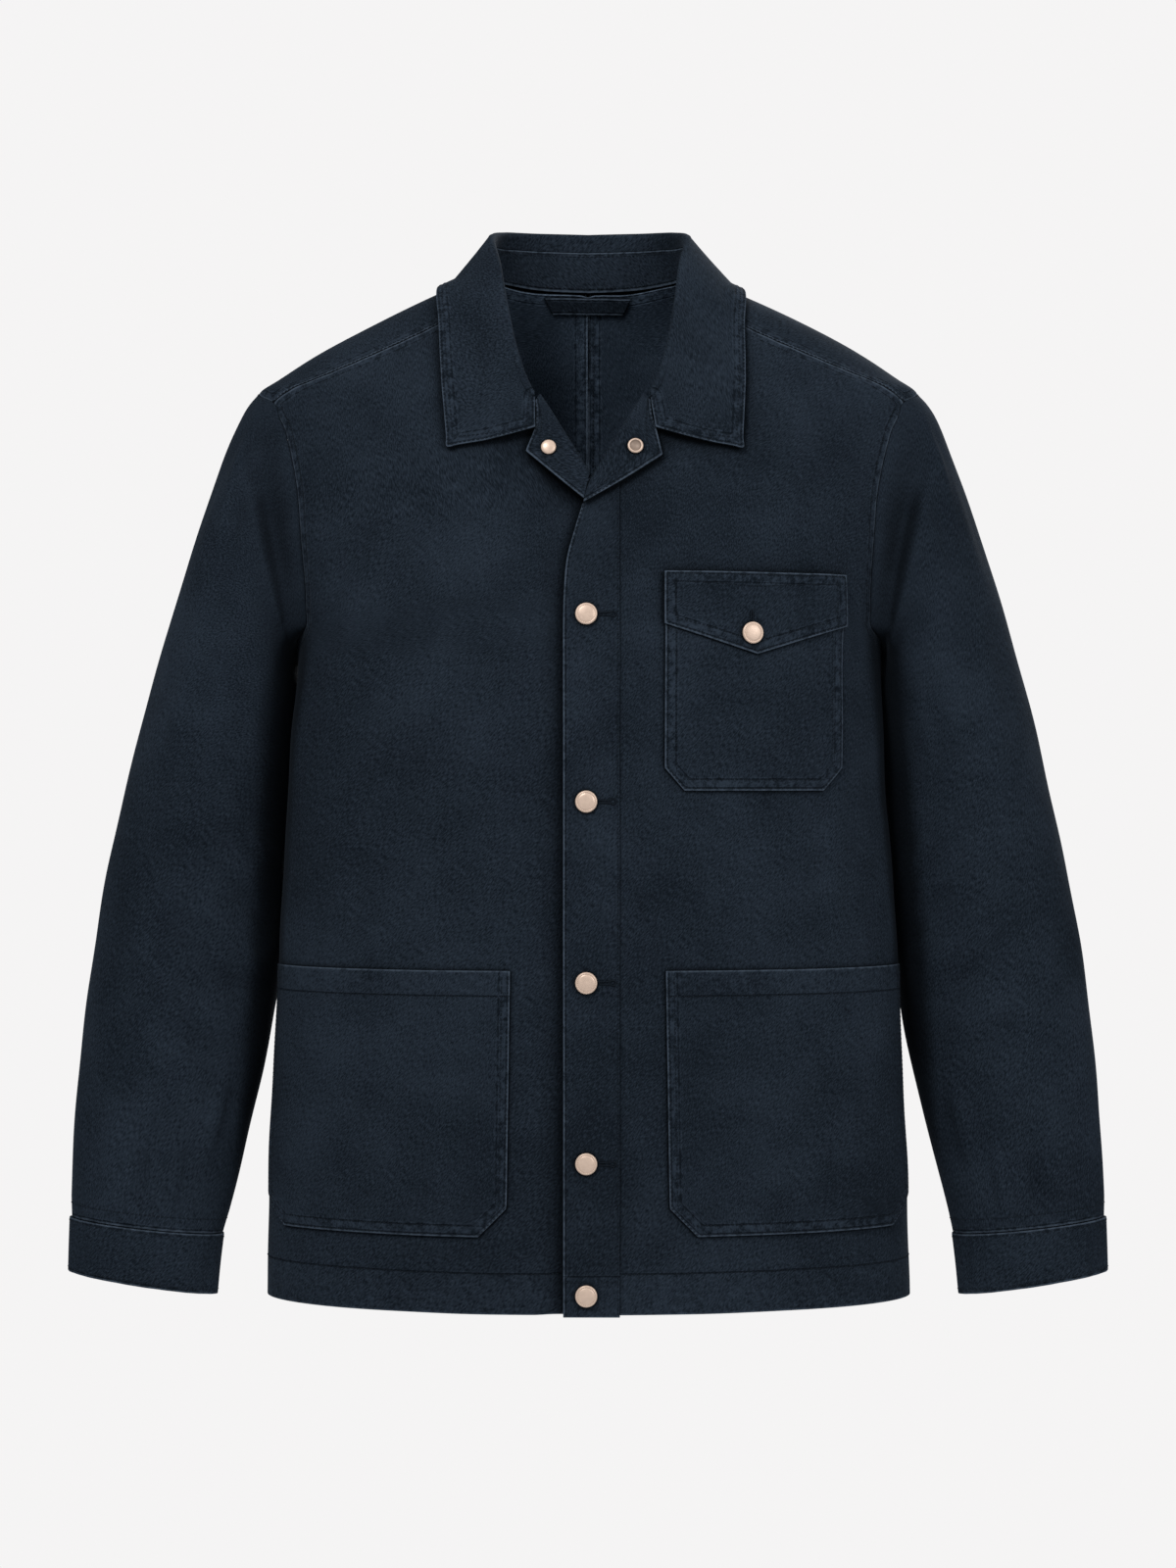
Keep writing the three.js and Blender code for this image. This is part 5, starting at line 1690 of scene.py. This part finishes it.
def hem_rows():
    start = float(angle_at(PLACKET_RIGHT + HEM_ROW_START_GAP, HEM_Z + HEM_TURN, False))
    angle = np.linspace(start, HEM_ROW_END, 900)
    angle = np.where(angle > 180, angle - 360, angle)
    z = np.full(angle.shape, float(HEM_Z + HEM_TURN))
    sinks = (angle < 0) & (angle >= -UNDERLAP_MOST_ANGLE)
    drop = np.where(sinks, underlap_drop(angle, z), 0)
    return [(torso(angle, z, STITCH_LIFT - drop), torso_normal(angle, z))]


# Points along each run of a patch's row, and the rows across the top of the flap
ROW_POINTS = 60
FLAP_TOP_ROWS = (1.6, 8)


def inset_rows(place, side, lift, insets, top_rows, width, height):
    """Rows round a patch: down one side, along the bottom and up the other side"""
    rows = []
    for inset in insets:
        left, right, low = inset / width, 1 - inset / width, 1 - inset / height
        across = np.concatenate([
            np.full(ROW_POINTS, left), np.linspace(left, right, ROW_POINTS),
            np.full(ROW_POINTS, right)])
        down = np.concatenate([
            np.linspace(0.02, low, ROW_POINTS), np.full(ROW_POINTS, low),
            np.linspace(low, 0.02, ROW_POINTS)])
        rows.append(patch_row(place, side, lift, across, down))
    for inset in top_rows:
        across = np.linspace(0.01, 0.99, ROW_POINTS)
        rows.append(patch_row(place, side, lift, across, np.full(ROW_POINTS, inset / height)))
    return rows


def patch_row(place, side, lift, across, down):
    angle, z = place(across, down)
    lifted = torso(side * angle, z, lift + CLOTH_WALL + STITCH_LIFT)
    return lifted, torso_normal(side * angle, z)


def pocket_rows():
    double = (EDGE_ROW, MARGIN_ROW)
    rows = inset_rows(chest_pocket_place, 1, POCKET_LIFT, double, (), width=126, height=147)
    for side in (1, -1):
        rows += inset_rows(
            hip_pocket_place, side, POCKET_LIFT, double, (POCKET_BAND,), width=205, height=183)
    lift = POCKET_LIFT + CLOTH_WALL + SEAM_GAP
    rows += inset_rows(flap_place, 1, lift, double, FLAP_TOP_ROWS, width=128, height=46)
    return rows


def placket_rows():
    """Two rows up the front strip and one across it over the hem"""
    edges = placket_edges()
    up, across = np.linspace(0.002, 0.995, 500), np.linspace(0.02, 0.98, 20)
    places = [
        (np.full(up.shape, share), up)
        for share in (EDGE_ROW / PLACKET_WIDTH, 1 - PLACKET_INNER_ROW / PLACKET_WIDTH)]
    places.append((across, np.full(across.shape, HEM_TURN / BODY_LENGTH)))
    rows = []
    for place in places:
        angle, z = panel_place(edges, *place)
        rows.append((torso(angle, z, PLACKET_RAISE + STITCH_LIFT), torso_normal(angle, z)))
    return rows


class JACKET_OT_studio(bpy.types.Operator):
    """Set the camera, the soft lights and the pale floor"""

    bl_idname = "jacket.studio"
    bl_label = "Studio"

    def execute(self, context):
        studio = context.scene.jacket_studio
        lens = bpy.data.cameras.new("camera")
        lens.sensor_width = 36
        lens.lens = lens.sensor_width * studio.distance / studio.frame_height
        camera = bpy.data.objects.new("camera", lens)
        camera.location = (0, -studio.distance, studio.height)
        camera.rotation_euler = (math.radians(90), 0, 0)
        context.scene.collection.objects.link(camera)
        context.scene.camera = camera
        context.scene.view_settings.view_transform = "Standard"
        pale_world(context.scene)
        for lamp in LAMPS:
            softbox(**lamp)
        pale_floor()
        return {"FINISHED"}


# Lamps in metres and watts, all aimed at the middle of the jacket
AIM = Vector((0, 0, -0.35))
LAMPS = table("name spot size power", [
    ("key", (-1.0, -2.1, 1.6), 1.0, 34),
    ("fill", (1.9, -2.0, 0.5), 1.6, 19.5),
    ("back", (0.9, 2.2, 1.2), 1.6, 30),
])
GROUND_SEEN = (0.913, 0.905, 0.905, 1)
GROUND_LIGHT = (0.9, 0.95, 1, 1)
GROUND_STRENGTH = 0.27
FLOOR_Z = -1.6
FLOOR_RADIUS = 1.2


def softbox(name, spot, size, power):
    light = bpy.data.lights.new(name, "AREA")
    light.shape = "DISK"
    light.size = size
    light.energy = power
    lamp = bpy.data.objects.new(name, light)
    lamp.location = spot
    lamp.rotation_euler = (AIM - Vector(spot)).to_track_quat("-Z", "Y").to_euler()
    bpy.context.scene.collection.objects.link(lamp)


def pale_world(scene):
    """The camera sees the pale ground, while the cloth is lit by a dimmer one"""
    world = bpy.data.worlds.new("pale_studio")
    world.use_nodes = True
    tree = world.node_tree
    tree.nodes.clear()
    seen = tree.nodes.new("ShaderNodeBackground")
    seen.inputs["Color"].default_value = GROUND_SEEN
    ambient = tree.nodes.new("ShaderNodeBackground")
    ambient.inputs["Color"].default_value = GROUND_LIGHT
    ambient.inputs["Strength"].default_value = GROUND_STRENGTH
    path = tree.nodes.new("ShaderNodeLightPath")
    blend = tree.nodes.new("ShaderNodeMixShader")
    output = tree.nodes.new("ShaderNodeOutputWorld")
    tree.links.new(path.outputs["Is Camera Ray"], blend.inputs[0])
    tree.links.new(ambient.outputs[0], blend.inputs[1])
    tree.links.new(seen.outputs[0], blend.inputs[2])
    tree.links.new(blend.outputs[0], output.inputs["Surface"])
    scene.world = world


def pale_floor():
    bm = bmesh.new()
    bmesh.ops.create_circle(bm, cap_ends=True, segments=96, radius=FLOOR_RADIUS)
    bmesh.ops.translate(bm, verts=bm.verts, vec=(0, 0, FLOOR_Z))
    mesh = bpy.data.meshes.new("floor")
    bm.to_mesh(mesh)
    bm.free()
    make = Nodes("pale_floor")
    place = make.add("ShaderNodeTexCoord").outputs["Object"]
    grain = make.noise(place, 60.0, 2.0)
    colour = make.blend(grain, (0.86, 0.86, 0.86, 1), (0.9, 0.9, 0.9, 1))
    shader = make.add("ShaderNodeBsdfPrincipled", {"Base Color": colour, "Roughness": 0.8})
    make.add("ShaderNodeOutputMaterial", {"Surface": shader.outputs["BSDF"]})
    mesh.materials.append(make.material)
    floor = bpy.data.objects.new("floor", mesh)
    bpy.context.scene.collection.objects.link(floor)


class JACKET_PT_panel(bpy.types.Panel):
    """Lists the jacket's pieces"""

    bl_idname = "JACKET_PT_panel"
    bl_label = "Chore jacket"
    bl_space_type = "VIEW_3D"
    bl_region_type = "UI"
    bl_category = "Jacket"

    def draw(self, context):
        for operator in OPERATORS:
            self.layout.operator(operator.bl_idname)
        for group in ("jacket_cloth", "jacket_metal", "jacket_studio"):
            settings = getattr(context.scene, group)
            for name in settings.__annotations__:
                self.layout.prop(settings, name)


OPERATORS = (
    JACKET_OT_studio, JACKET_OT_fronts, JACKET_OT_back, JACKET_OT_sleeves, JACKET_OT_collar,
    JACKET_OT_pockets, JACKET_OT_buttons, JACKET_OT_stitching)
GROUPS = {
    "jacket_cloth": JacketCloth, "jacket_metal": JacketMetal, "jacket_studio": JacketStudio}


def register():
    for group in GROUPS.values():
        bpy.utils.register_class(group)
    for operator in OPERATORS:
        bpy.utils.register_class(operator)
    bpy.utils.register_class(JACKET_PT_panel)
    for name, group in GROUPS.items():
        setattr(bpy.types.Scene, name, bpy.props.PointerProperty(type=group))


def unregister():
    for name in GROUPS:
        delattr(bpy.types.Scene, name)
    bpy.utils.unregister_class(JACKET_PT_panel)
    for operator in reversed(OPERATORS):
        bpy.utils.unregister_class(operator)
    for group in GROUPS.values():
        bpy.utils.unregister_class(group)


def main():
    register()
    bpy.ops.jacket.studio()
    bpy.ops.jacket.fronts()
    bpy.ops.jacket.back()
    bpy.ops.jacket.sleeves()
    bpy.ops.jacket.collar()
    bpy.ops.jacket.pockets()
    bpy.ops.jacket.buttons()
    bpy.ops.jacket.stitching()


if __name__ == "__main__":
    main()
